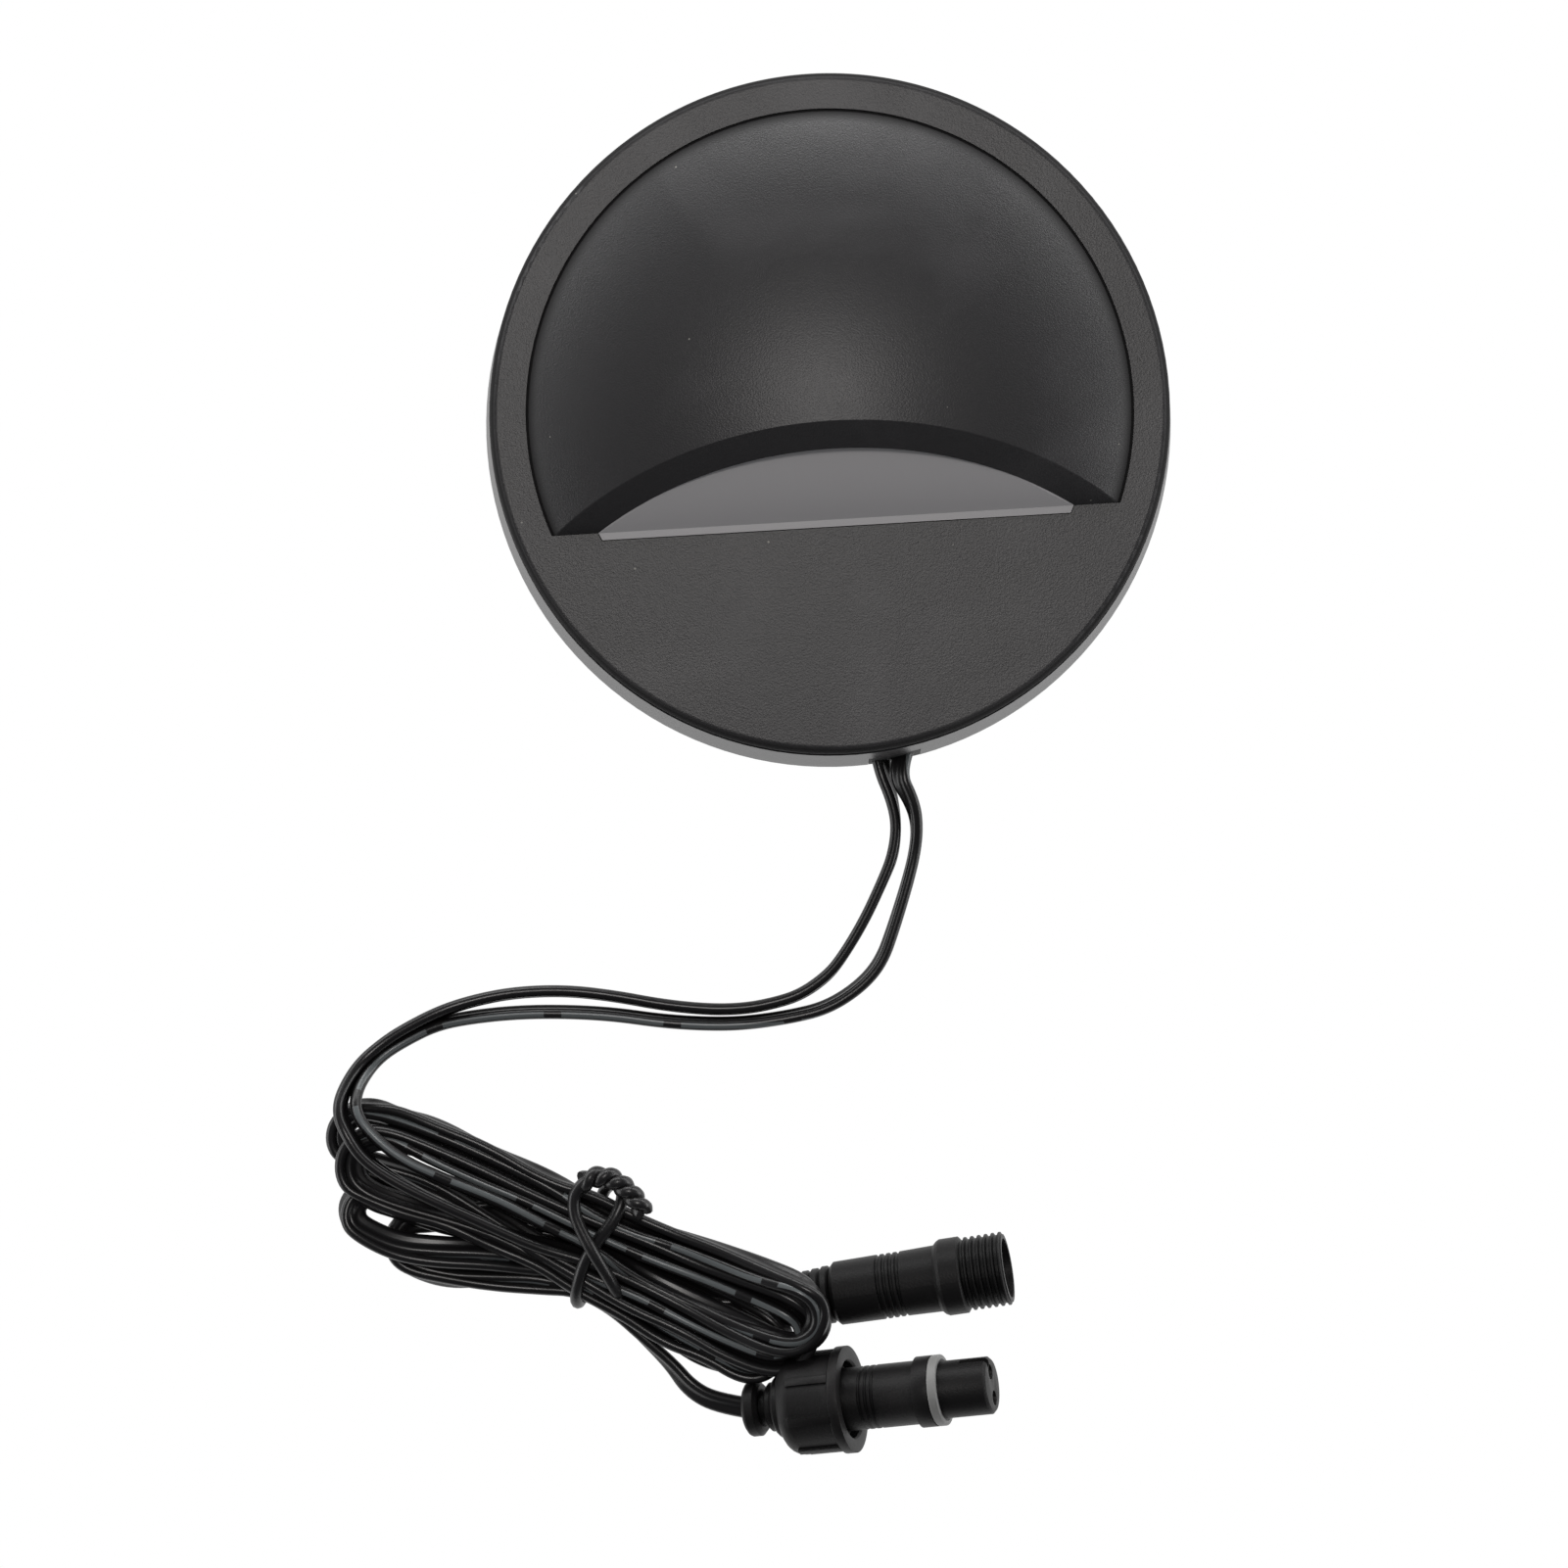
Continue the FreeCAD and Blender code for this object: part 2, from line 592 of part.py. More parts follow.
def reflector():
    flange = moon(LENS_RIM_R, LENS_RIM_Y, REFLECTOR_Z, LENS_RIM_Z)
    w = FUNNEL_WALL
    top_r, top_y, low_r, low_y = FUNNEL_TOP_R, FUNNEL_TOP_Y, FUNNEL_LOW_R, FUNNEL_LOW_Y
    outside = funnel(top_r + w, top_y - w, REFLECTOR_Z, low_r + w, low_y - w, BOARD_TOP)
    inside = funnel(top_r, top_y, LENS_RIM_Z, low_r, low_y, BOARD_TOP)
    return flange.fuse(outside).removeSplitter().cut(inside)


# ---- LED board ----


def screw(x, y, base, shank_r, shank_l, head_r, head_h, up=1):
    """A cheese-head screw whose head sits on base and whose shank runs the other way."""
    low, high = sorted((base, base + up * head_h))
    head = disc(head_r, low, high, x, y)
    low, high = sorted((base, base - up * shank_l))
    return head.fuse(disc(shank_r, low, high, x, y)).removeSplitter()


def led_board():
    half = TAB_SIZE[0] / 2
    tab = block(TAB_X - half, TAB_X + half, BOARD_Y - TAB_SIZE[1], BOARD_Y, BOARD_Z, BOARD_TOP)
    board = moon(BOARD_R, BOARD_Y, BOARD_Z, BOARD_TOP).fuse(tab).removeSplitter()
    return cut_all(board, [disc(BOARD_SCREW_R, BOARD_Z, BOARD_TOP, x, y) for x, y in POSTS])


def leds():
    first = -(LED_COUNT - 1) / 2
    return group([brick((first + i) * LED_PITCH, LED_Y, BOARD_TOP, LED_SIZE) for i in range(LED_COUNT)])


def heat_spreader():
    plate = moon(SPREADER_R, SPREADER_Y, SPREADER_Z, BOARD_Z)
    return cut_all(plate, [disc(BOARD_SCREW_R, SPREADER_Z, BOARD_Z, x, y) for x, y in POSTS])


def board_screw_length():
    return BOARD_H + SPREADER_H + SCREW_BITE


def board_screws():
    sizes = (BOARD_SCREW_R, board_screw_length(), BOARD_SCREW_HEAD_R, BOARD_SCREW_HEAD_H)
    return group([screw(x, y, BOARD_TOP, *sizes) for x, y in POSTS])


# ---- driver board ----


def on_board(place):
    return DRIVER_X + place[0], DRIVER_Y + place[1]


def standoffs():
    dx = DRIVER_SIZE[0] / 2 - STANDOFF_INSET
    dy = DRIVER_SIZE[1] / 2 - STANDOFF_INSET
    return [on_board((sx * dx, sy * dy)) for sx, sy in ((-1, -1), (1, 1), (-1, 1), (1, -1))]


def driver_screw_places():
    return standoffs()[:2]


def driver_board():
    board = brick(DRIVER_X, DRIVER_Y, DRIVER_Z, DRIVER_SIZE)
    return cut_all(board, [disc(DRIVER_SCREW_R, DRIVER_Z, DRIVER_TOP, x, y) for x, y in driver_screw_places()])


def driver_screws():
    sizes = (DRIVER_SCREW_R, DRIVER_SIZE[2] + SCREW_BITE, DRIVER_SCREW_HEAD_R, DRIVER_SCREW_HEAD_H)
    return group([screw(x, y, DRIVER_TOP, *sizes) for x, y in driver_screw_places()])


def bridge_rectifier():
    x, y = on_board((RECTIFIER_INSET - DRIVER_SIZE[0] / 2, RECTIFIER_Y))
    return brick(x, y, DRIVER_TOP, RECTIFIER_SIZE)


def smoothing_capacitor():
    x, y = on_board((CAPACITOR_X, CAPACITOR_R + CAPACITOR_INSET - DRIVER_SIZE[1] / 2))
    return along_x(CAPACITOR_R, x - CAPACITOR_L / 2, x + CAPACITOR_L / 2, y, DRIVER_TOP + CAPACITOR_R)


def inductor():
    x, y = on_board((DRIVER_SIZE[0] / 2 - INDUCTOR_INSET, INDUCTOR_Y))
    flange = INDUCTOR_H / 5
    drum = disc(INDUCTOR_R, DRIVER_TOP, DRIVER_TOP + flange, x, y)
    core = disc(INDUCTOR_R - INDUCTOR_WAIST, DRIVER_TOP, DRIVER_TOP + INDUCTOR_H, x, y)
    top = disc(INDUCTOR_R, DRIVER_TOP + INDUCTOR_H - flange, DRIVER_TOP + INDUCTOR_H, x, y)
    return fused([drum, core, top])


def driver_chip():
    return brick(*on_board(CHIP_AT), DRIVER_TOP, CHIP_SIZE)


def resistors():
    x, y = on_board(FIRST_RESISTOR_AT)
    return group([brick(x + i * RESISTOR_PITCH, y, DRIVER_TOP, RESISTOR_SIZE) for i in range(RESISTOR_COUNT)])


# ---- rear housing ----


def lock_features():
    """Ledges that hold the wall plate's tabs, and the stops at both ends of the twist."""
    reach = RECESS_R + STEP_WALL / 2
    stop_low, stop_high = RECESS_DEPTH - STOP_H, RECESS_DEPTH + FLOOR_WALL / 2
    made = []
    for angle in LOCK_ANGLES:
        made.append(sector(reach, LEDGE_IN_R, 0, LEDGE_H, angle, LEDGE_WIDTH))
        offset = TAB_WIDTH / 2 + STOP_GAP + STOP_WIDTH / 2
        for centre in (angle - offset, angle + UNLOCK_ANGLE + offset):
            made.append(sector(reach, LEDGE_IN_R + 1.0, stop_low, stop_high, centre, STOP_WIDTH))
    return made


def clamp_y():
    return GLAND_BACK_Y + RIB_T + CLAMP_GAP + CLAMP_SIZE[1] / 2


def clamp_posts():
    return [(EXIT_X + side * CLAMP_SCREW_PITCH / 2, clamp_y()) for side in (-1, 1)]


def rear_housing():
    outside = Part.makeCone(HOUSING_BASE_R, HOUSING_TOP_R, PARTING_Z)
    tools = [
        disc(HOUSING_IN_R, FLOOR_Z, PARTING_Z),
        ring(HOUSING_IN_R, CHANNEL_R, CHANNEL_Z, FLOOR_Z),
        disc(RECESS_R, 0, RECESS_DEPTH),
        ring(HOUSING_IN_R, CHANNEL_R, 0, GASKET_H),
    ]
    tools.append(cover_seal())
    shell = cut_all(outside, tools)
    added = lock_features()
    for angle in COVER_SCREW_ANGLES:
        x, y = polar(COVER_SCREW_R, angle)
        added.append(disc(BOSS_R, GASKET_H, BOSS_TOP, x, y))
    for x, y in POSTS:
        added.append(disc(POST_R, FLOOR_Z - FLOOR_WALL / 2, SPREADER_Z, x, y))
    for x, y in standoffs():
        added.append(disc(STANDOFF_R, FLOOR_Z - FLOOR_WALL / 2, DRIVER_Z, x, y))
    for x, y in clamp_posts():
        added.append(disc(BOARD_SCREW_HEAD_R, CHANNEL_Z - CHANNEL_WALL / 2, STUB_TOP, x, y))
    rib_y = GLAND_BACK_Y
    for side in (-1, 1):
        centre = EXIT_X + side * (GLAND_W / 2 - RIB_W / 2)
        low, high = CHANNEL_Z - CHANNEL_WALL / 2, GLAND_FLOOR + GLAND_H
        added.append(block(centre - RIB_W / 2, centre + RIB_W / 2, rib_y, rib_y + RIB_T, low, high))
    shell = fused([shell] + added)
    holes = [gland_space()]
    half = NOTCH_W / 2
    notch = block(EXIT_X - half, EXIT_X + half, -HOUSING_BASE_R - 1, GLAND_BACK_Y - 1, 0, NOTCH_H)
    holes.append(notch.cut(disc(HOUSING_IN_R, 0, NOTCH_H)))
    for angle in COVER_SCREW_ANGLES:
        x, y = polar(COVER_SCREW_R, angle)
        holes.append(disc(HEAD_R + HEAD_GAP, 0, screw_base(), x, y))
        holes.append(disc(SHANK_R + SHANK_GAP, 0, BOSS_TOP, x, y))
    for x, y in POSTS:
        holes.append(disc(BOARD_SCREW_R, SPREADER_Z - SCREW_BITE, SPREADER_Z, x, y))
    for x, y in driver_screw_places():
        holes.append(disc(DRIVER_SCREW_R, DRIVER_Z - SCREW_BITE, DRIVER_Z, x, y))
    for x, y in clamp_posts():
        holes.append(disc(BOARD_SCREW_R, STUB_TOP - SCREW_BITE, STUB_TOP, x, y))
    return cut_all(shell, holes)


def cover_seal():
    middle = (HOUSING_IN_R + HOUSING_TOP_R) / 2
    return ring(middle + SEAL_W / 2, middle - SEAL_W / 2, PARTING_Z - SEAL_H, PARTING_Z)


def cover_screws():
    places = [polar(COVER_SCREW_R, angle) for angle in COVER_SCREW_ANGLES]
    sizes = (SHANK_R, COVER_SCREW_LENGTH, HEAD_R, HEAD_H)
    return group([screw(x, y, screw_base(), *sizes, up=-1) for x, y in places])


def wall_gasket():
    return ring(HOUSING_IN_R - GASKET_GAP, CHANNEL_R + GASKET_GAP, 0, GASKET_H)


def wall_plate():
    plate = disc(PLATE_R, 0, PLATE_H)
    tabs = [sector(TAB_R, PLATE_R - 1.0, PLATE_H - TAB_H, PLATE_H, angle, TAB_WIDTH) for angle in LOCK_ANGLES]
    whole = fused([plate] + tabs)
    holes = []
    for side in (-1, 1):
        x = side * SLOT_X
        for width, low in ((SLOT_W, 0), (SLOT_HEAD_W, PLATE_H - SLOT_HEAD_DEPTH)):
            reach = (SLOT_L - SLOT_W) / 2
            holes.append(block(x - reach, x + reach, -width / 2, width / 2, low, PLATE_H))
            holes.append(disc(width / 2, low, PLATE_H, x - reach, 0))
            holes.append(disc(width / 2, low, PLATE_H, x + reach, 0))
    return cut_all(whole, holes)


# ---- where the leads come in ----


def gland_space():
    half = GLAND_W / 2
    low, high = GLAND_FLOOR, GLAND_FLOOR + GLAND_H
    space = block(EXIT_X - half, EXIT_X + half, -HOUSING_IN_R, GLAND_BACK_Y, low, high)
    return space.common(disc(HOUSING_IN_R, low, high))


def cable_gland():
    return gland_space()


def stub_places():
    """x of the two leads inside, the striped one last."""
    return EXIT_X - LEAD_PITCH / 2, EXIT_X + LEAD_PITCH / 2


def lead_ends():
    stubs = []
    for x in stub_places():
        face = Part.Face(stadium(vec(x, GLAND_BACK_Y, FLOOR_Z + LEAD_W / 2), vec(0, 1, 0)))
        stubs.append(face.extrude(vec(0, STUB_END_Y - GLAND_BACK_Y, 0)))
    return group(stubs)


def cord_clamp():
    bar = brick(EXIT_X, clamp_y(), STUB_TOP, CLAMP_SIZE)
    top = STUB_TOP + CLAMP_SIZE[2]
    return cut_all(bar, [disc(BOARD_SCREW_R, STUB_TOP, top, x, y) for x, y in clamp_posts()])


def clamp_screws():
    sizes = (BOARD_SCREW_R, CLAMP_SIZE[2] + SCREW_BITE, CLAMP_SCREW_HEAD_R, CLAMP_SCREW_HEAD_H)
    return group([screw(x, y, STUB_TOP + CLAMP_SIZE[2], *sizes) for x, y in clamp_posts()])


def core_wire(stub_x, core_z, pad_x, name):
    """One core, from its lead's end to its pad on the driver board; a lower core climbs beside the board."""
    edge_y = DRIVER_Y - DRIVER_SIZE[1] / 2
    pad_z = DRIVER_TOP + CORE_R
    points = [(stub_x, STUB_END_Y, core_z), (stub_x, STUB_END_Y + 1.5, core_z)]
    if core_z < DRIVER_Z:
        points.append((pad_x, edge_y - 2.0, core_z))
    points += [(pad_x, edge_y - 1.5, pad_z), (pad_x, edge_y + 1.4, pad_z)]
    return round_wire(points, CORE_R, name)


def core_wires(upper):
    """The upper or the lower core of both leads."""
    left, right = stub_places()
    pads = [DRIVER_X + DRIVER_SIZE[0] / 2 - inset for inset in CORE_PADS]
    first = 1 if upper else 0
    z = FLOOR_Z + (0.75 if upper else 0.25) * LEAD_W
    word = "upper" if upper else "lower"
    return group([
        core_wire(left, z, pads[first], word + " left"),
        core_wire(right, z, pads[first + 2], word + " right"),
    ])


def led_feed_wires():
    wires = []
    start_y = DRIVER_Y + DRIVER_SIZE[1] / 2 - 2.2
    end_y = BOARD_Y - TAB_SIZE[1] + 1.6
    for x in (TAB_X - 1.6, TAB_X + 1.6):
        points = (
            (x, start_y, DRIVER_TOP + CORE_R),
            (x, start_y + 2.2, DRIVER_TOP + CORE_R + 0.5),
            (x, end_y - 2.4, BOARD_TOP + CORE_R + 0.3),
            (x, end_y, BOARD_TOP + CORE_R),
        )
        wires.append(round_wire(points, CORE_R, "feed wire"))
    return group(wires)


# ---- hank and tie ----


def tie_turned(shape):
    shape.rotate(vec(0, 0, 0), vec(0, 0, 1), TIE_HEADING)
    shape.translate(vec(TIE_AT[0], TIE_AT[1], 0))
    return shape


def tie_band():
    half, t = TIE_SPAN / 2, TIE_T
    high = HANK_H + t
    outer = block(-half, half, -TIE_W / 2, TIE_W / 2, 0, high)
    corners = [e for e in outer.Edges if abs(e.tangentAt(e.FirstParameter).y) > 0.9]
    outer = outer.makeFillet(2.4, corners)
    inner = block(-half + t, half - t, -TIE_W / 2, TIE_W / 2, t, high - t)
    corners = [e for e in inner.Edges if abs(e.tangentAt(e.FirstParameter).y) > 0.9]
    return outer.cut(inner.makeFillet(1.2, corners))


def twist_tie():
    knot = along_x(KNOT_R, 0.0, KNOT_L, 0, HANK_H + KNOT_R)
    return tie_turned(tie_band().fuse(knot).removeSplitter())


def lead_hank():
    outline = rounded_outline([vec(x, y, 0) for x, y in HANK_OUTLINE])
    solid = Part.Face(outline).extrude(vec(0, 0, HANK_H))
    top = [e for e in solid.Edges if all(abs(v.Z - HANK_H) < 1e-6 for v in e.Vertexes)]
    return solid.makeFillet(HANK_ROUND, top)


# ---- connectors ----


def placed(shape, at, heading, tilt, axis_z):
    """Lays a connector made along +X on the floor: tip up by tilt, then turned to heading."""
    shape.rotate(vec(0, 0, 0), vec(0, 1, 0), -tilt)
    shape.rotate(vec(0, 0, 0), vec(0, 0, 1), heading)
    shape.translate(vec(at[0], at[1], axis_z))
    return shape


def pin_placed(shape):
    """The boot's last rib rests on the floor."""
    tilt = math.radians(PIN_TILT)
    rise = PIN_BOOT_R * math.cos(tilt) + PIN_BOOT_L * math.sin(tilt)
    return placed(shape, PIN_AT, PIN_HEADING, PIN_TILT, rise)


def pin_connector_body():
    chamfer, step = 0.8, PIN_BODY_L
    outline = [(0, PIN_BODY_R - chamfer), (chamfer, PIN_BODY_R)]
    grip = 0.45 * PIN_BODY_L
    for i in range(4):
        at = grip + i * 1.2
        crest, root = PIN_BODY_R + 0.1, PIN_BODY_R - 0.2
        outline += [(at, crest), (at + 0.2, root), (at + 0.6, root), (at + 0.8, crest)]
    outline += [(step, PIN_FRONT_R), (step + 0.6, COLLAR_R - 0.3), (step + 1.2, COLLAR_R)]
    thread = step + COLLAR_L
    outline += [(thread - 0.6, COLLAR_R), (thread, THREAD_ROOT_R)]
    for i in range(THREAD_TURNS):
        at = thread + i * THREAD_PITCH
        outline += [(at + 0.35, THREAD_ROOT_R), (at + 0.6, THREAD_R)]
        outline += [(at + 0.85, THREAD_R), (at + 1.1, THREAD_ROOT_R)]
    end = thread + THREAD_TURNS * THREAD_PITCH
    outline.append((end, THREAD_ROOT_R))
    body = turned(outline)
    cavity = along_x(PIN_CAVITY_R, end - PIN_CAVITY_DEPTH, end)
    key = block(end - PIN_CAVITY_DEPTH, end - 1.5, -0.7, 0.7, PIN_CAVITY_R - 0.7, PIN_CAVITY_R)
    return pin_placed(body.cut(cavity).fuse(key).removeSplitter())


def pin_connector_end():
    return PIN_BODY_L + COLLAR_L + THREAD_TURNS * THREAD_PITCH


def contact_pins():
    base = pin_connector_end() - PIN_CAVITY_DEPTH
    pins = []
    for side in (-1, 1):
        y = side * CONTACT_PITCH / 2
        tip = CONTACT_R / 2
        shank = along_x(CONTACT_R, base, base + CONTACT_L - tip, y)
        point = Part.makeCone(CONTACT_R, CONTACT_R / 2, tip, vec(base + CONTACT_L - tip, y, 0), vec(1, 0, 0))
        pins.append(pin_placed(shank.fuse(point).removeSplitter()))
    return group(pins)


def pin_connector_boot():
    pitch = PIN_BOOT_L / PIN_BOOT_RIBS
    outline = []
    for i in range(PIN_BOOT_RIBS):
        at, r = i * pitch - PIN_BOOT_L, PIN_BOOT_R + i * PIN_BOOT_STEP
        outline += [(at, r - 0.4), (at + 0.2 * pitch, r), (at + 0.7 * pitch, r), (at + 0.9 * pitch, r - 0.4)]
    outline.append((0, PIN_BOOT_R))
    return pin_placed(turned(outline))


def nut_rib_start():
    return NUT_START + NUT_SHOULDER + NUT_RIB_SETBACK


def socket_placed(shape):
    """The back end of a rib of the nut rests on the floor."""
    tilt = math.radians(SOCKET_TILT)
    rise = NUT_RIB_R * math.cos(tilt) - nut_rib_start() * math.sin(tilt)
    return placed(shape, SOCKET_AT, SOCKET_HEADING, SOCKET_TILT, rise)


def socket_connector_boot():
    """A rounded flange and a smaller collar with a groove between them."""
    e = BOOT_FLANGE_L / 4
    groove = BOOT_FLANGE_L + BOOT_GROOVE_L
    end = socket_body_start()
    outline = [(0, BOOT_R - e), (e / 2, BOOT_R - e / 4), (e, BOOT_R), (BOOT_FLANGE_L - e, BOOT_R)]
    outline += [(BOOT_FLANGE_L, BOOT_R - e), (BOOT_FLANGE_L, BOOT_GROOVE_R), (groove, BOOT_GROOVE_R)]
    outline += [(groove, BOOT_COLLAR_R - e / 2), (groove + e / 2, BOOT_COLLAR_R), (end - e / 2, BOOT_COLLAR_R)]
    outline.append((end, BOOT_COLLAR_R - e / 2))
    return socket_placed(turned(outline))


def socket_body_start():
    return BOOT_FLANGE_L + BOOT_GROOVE_L + BOOT_COLLAR_L


def shoulder_start():
    return socket_body_start() + SOCKET_BODY_L


def ring_start():
    return shoulder_start() + SHOULDER_L


def tip_start():
    return ring_start() + RING_L


def socket_connector_body():
    start, chamfer = socket_body_start(), 0.5
    grip = NUT_START + NUT_L + 2.4
    outline = [(start, SOCKET_BODY_R - chamfer), (start + chamfer, SOCKET_BODY_R)]
    for i in range(3):
        at = grip + i * 1.2
        crest, root = SOCKET_BODY_R, SOCKET_BODY_R - 0.25
        outline += [(at, crest), (at + 0.2, root), (at + 0.5, root), (at + 0.7, crest)]
    outline += [(shoulder_start() - 0.4, SOCKET_BODY_R), (shoulder_start() + 0.6, SHOULDER_R)]
    outline += [(ring_start(), SHOULDER_R), (ring_start(), SEAT_R), (tip_start(), SEAT_R), (tip_start(), TIP_R)]
    end = tip_start() + TIP_L
    outline += [(end - 0.6, TIP_R), (end, TIP_R - 0.6)]
    body = turned(outline)
    holes = [along_x(HOLE_R, end - CONTACT_L, end, side * CONTACT_PITCH / 2) for side in (-1, 1)]
    key = block(end - TIP_L, end, -0.9, 0.9, TIP_R - 1.0, TIP_R + 1.0)
    return socket_placed(cut_all(body, holes + [key]))


def socket_contacts():
    end = tip_start() + TIP_L
    sleeves = []
    for side in (-1, 1):
        y = side * CONTACT_PITCH / 2
        sleeve = along_x(HOLE_R, end - CONTACT_L, end - 1.0, y)
        bore = along_x(CONTACT_R, end - CONTACT_L + 1.0, end - 1.0, y)
        sleeves.append(socket_placed(sleeve.cut(bore)))
    return group(sleeves)


def connector_seal():
    outer = along_x(RING_R, ring_start(), tip_start())
    edges = [e for e in outer.Edges if e.Closed]
    outer = outer.makeFillet(0.35, edges)
    return socket_placed(outer.cut(along_x(SEAT_R, ring_start(), tip_start())))


def coupling_nut():
    start, end = NUT_START, NUT_START + NUT_L
    bore_r = SOCKET_BODY_R + NUT_BORE_GAP
    s = NUT_SHOULDER
    outline = [(start, NUT_SKIN_R - s)]
    for angle in (15, 30, 45, 60, 75, 90):
        turn = math.radians(angle)
        outline.append((start + s * (1 - math.cos(turn)), NUT_SKIN_R - s + s * math.sin(turn)))
    outline += [(end - NUT_RIM - 0.3, NUT_SKIN_R), (end - NUT_RIM, NUT_R), (end - 0.3, NUT_R), (end, NUT_R - 0.3)]
    nut = turned(outline)
    ribs = []
    for i in range(NUT_RIB_COUNT):
        rib = block(nut_rib_start(), end - NUT_RIM, -NUT_RIB_W / 2, NUT_RIB_W / 2, NUT_SKIN_R - 1.0, NUT_RIB_R)
        rib.rotate(vec(0, 0, 0), vec(1, 0, 0), NUT_RIB_PHASE + i * 360 / NUT_RIB_COUNT)
        ribs.append(rib)
    nut = fused([nut] + ribs)
    thread = along_x(NUT_THREAD_R, start + NUT_BACK, end)
    bore = along_x(bore_r, start, start + NUT_BACK)
    ridges = []
    for i in range(4):
        at = start + NUT_BACK + 1.0 + i * 2 * THREAD_PITCH
        ridges.append(along_x(NUT_THREAD_R, at, at + 0.5).cut(along_x(NUT_THREAD_R - 0.35, at, at + 0.5)))
    return socket_placed(fused([nut.cut(thread).cut(bore)] + ridges))


# ---- writing ----

NODES = {
    "front_cover": front_cover,
    "lens": lens,
    "lens_gasket": lens_gasket,
    "reflector": reflector,
    "led_board": led_board,
    "leds": leds,
    "heat_spreader": heat_spreader,
    "board_screws": board_screws,
    "driver_board": driver_board,
    "driver_screws": driver_screws,
    "bridge_rectifier": bridge_rectifier,
    "smoothing_capacitor": smoothing_capacitor,
    "inductor": inductor,
    "driver_chip": driver_chip,
    "resistors": resistors,
    "rear_housing": rear_housing,
    "cover_seal": cover_seal,
    "cover_screws": cover_screws,
    "wall_gasket": wall_gasket,
    "wall_plate": wall_plate,
    "cable_gland": cable_gland,
    "cord_clamp": cord_clamp,
    "clamp_screws": clamp_screws,
    "lead_ends": lead_ends,
    "core_wires_plus": lambda: core_wires(True),
    "core_wires_minus": lambda: core_wires(False),
    "led_feed_wires": led_feed_wires,
    "lead_striped": lambda: flat_lead(on_floor(LEAD_A), "lead_striped"),
    "lead_plain": lambda: flat_lead(on_floor(LEAD_B), "lead_plain"),
    "lead_tail": lambda: flat_lead(TAIL, "lead_tail"),
    "lead_hank": lambda: lead_hank().cut(tie_turned(tie_band())),
    "twist_tie": twist_tie,
    "pin_connector_boot": pin_connector_boot,
    "pin_connector_body": pin_connector_body,
    "contact_pins": contact_pins,
    "socket_connector_boot": socket_connector_boot,
    "socket_connector_body": socket_connector_body,
    "socket_contacts": socket_contacts,
    "connector_seal": connector_seal,
    "coupling_nut": coupling_nut,
}

os.makedirs("parts", exist_ok=True)
for node, make in NODES.items():
    shape = make()
    print(node, "solids", len(shape.Solids), "volume", round(shape.Volume, 1), "valid", shape.isValid())
    shape.exportStep(f"parts/{node}.step")
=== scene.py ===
"""Looks for the round eyelid step light with its two leads, lying on its back on a white table.

The scene is in metres. Sizes and places below are written in millimetres and multiplied by MM.
"""
import math
import random

import bmesh
import bpy
from mathutils import Matrix, Vector


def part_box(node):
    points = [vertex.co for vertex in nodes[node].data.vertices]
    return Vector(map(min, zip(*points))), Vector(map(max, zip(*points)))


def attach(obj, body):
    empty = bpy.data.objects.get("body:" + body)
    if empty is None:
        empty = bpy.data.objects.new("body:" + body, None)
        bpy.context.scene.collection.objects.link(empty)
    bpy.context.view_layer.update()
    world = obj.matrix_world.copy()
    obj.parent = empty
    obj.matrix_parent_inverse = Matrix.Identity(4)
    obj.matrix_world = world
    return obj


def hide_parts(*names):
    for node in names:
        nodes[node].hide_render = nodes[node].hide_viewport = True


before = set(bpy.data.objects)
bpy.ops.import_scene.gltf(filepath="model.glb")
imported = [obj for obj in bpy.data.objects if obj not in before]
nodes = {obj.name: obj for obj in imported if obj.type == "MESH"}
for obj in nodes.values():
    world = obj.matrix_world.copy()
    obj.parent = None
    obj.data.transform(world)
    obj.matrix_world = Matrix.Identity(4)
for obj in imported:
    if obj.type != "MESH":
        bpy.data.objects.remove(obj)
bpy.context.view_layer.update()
scene = bpy.context.scene
MM = 0.001

# ---- camera ----
# Straight above the middle of the picture, turned a little against the light.
# Its height and lens were fitted to the face and the base of the disc.
CAMERA_AT = (-11.9, -64.7, 550.0)
CAMERA_TURN = -3.38  # degrees
LENS = 69.48
camera_data = bpy.data.cameras.new("camera")
camera_data.sensor_width = 36.0
camera_data.lens = LENS
camera_data.clip_start = 0.01
camera = bpy.data.objects.new("camera", camera_data)
camera.location = Vector(CAMERA_AT) * MM
camera.rotation_euler = (0, 0, math.radians(CAMERA_TURN))
scene.collection.objects.link(camera)
scene.camera = camera

# ---- table and lights ----
# The table is a plain white glow, so it shows no shadow, as in the photograph, and it lights
# the drafted side wall from below. Seen from underneath it is clear, so the back can be looked at.
scene.view_settings.view_transform = "Standard"
scene.view_settings.look = "None"
world = bpy.data.worlds.new("world")
scene.world = world
world.use_nodes = True
world.node_tree.nodes["Background"].inputs["Color"].default_value = (0.9, 0.93, 1.0, 1)
world.node_tree.nodes["Background"].inputs["Strength"].default_value = 0.10

TABLE_SIZE, TABLE_Z = 60000.0, -0.1
half, level = TABLE_SIZE * MM / 2, TABLE_Z * MM
table_corners = [(-half, -half, level), (half, -half, level), (half, half, level), (-half, half, level)]
table_mesh = bpy.data.meshes.new("table")
table_mesh.from_pydata(table_corners, [], [(0, 1, 2, 3)])
table = bpy.data.objects.new("table", table_mesh)
scene.collection.objects.link(table)


def node(tree, kind, **sockets):
    """A new node with values on its sockets; an underscore stands for a space in a socket's name."""
    made = tree.nodes.new(kind)
    for name, value in sockets.items():
        made.inputs[name.replace("_", " ")].default_value = value
    return made


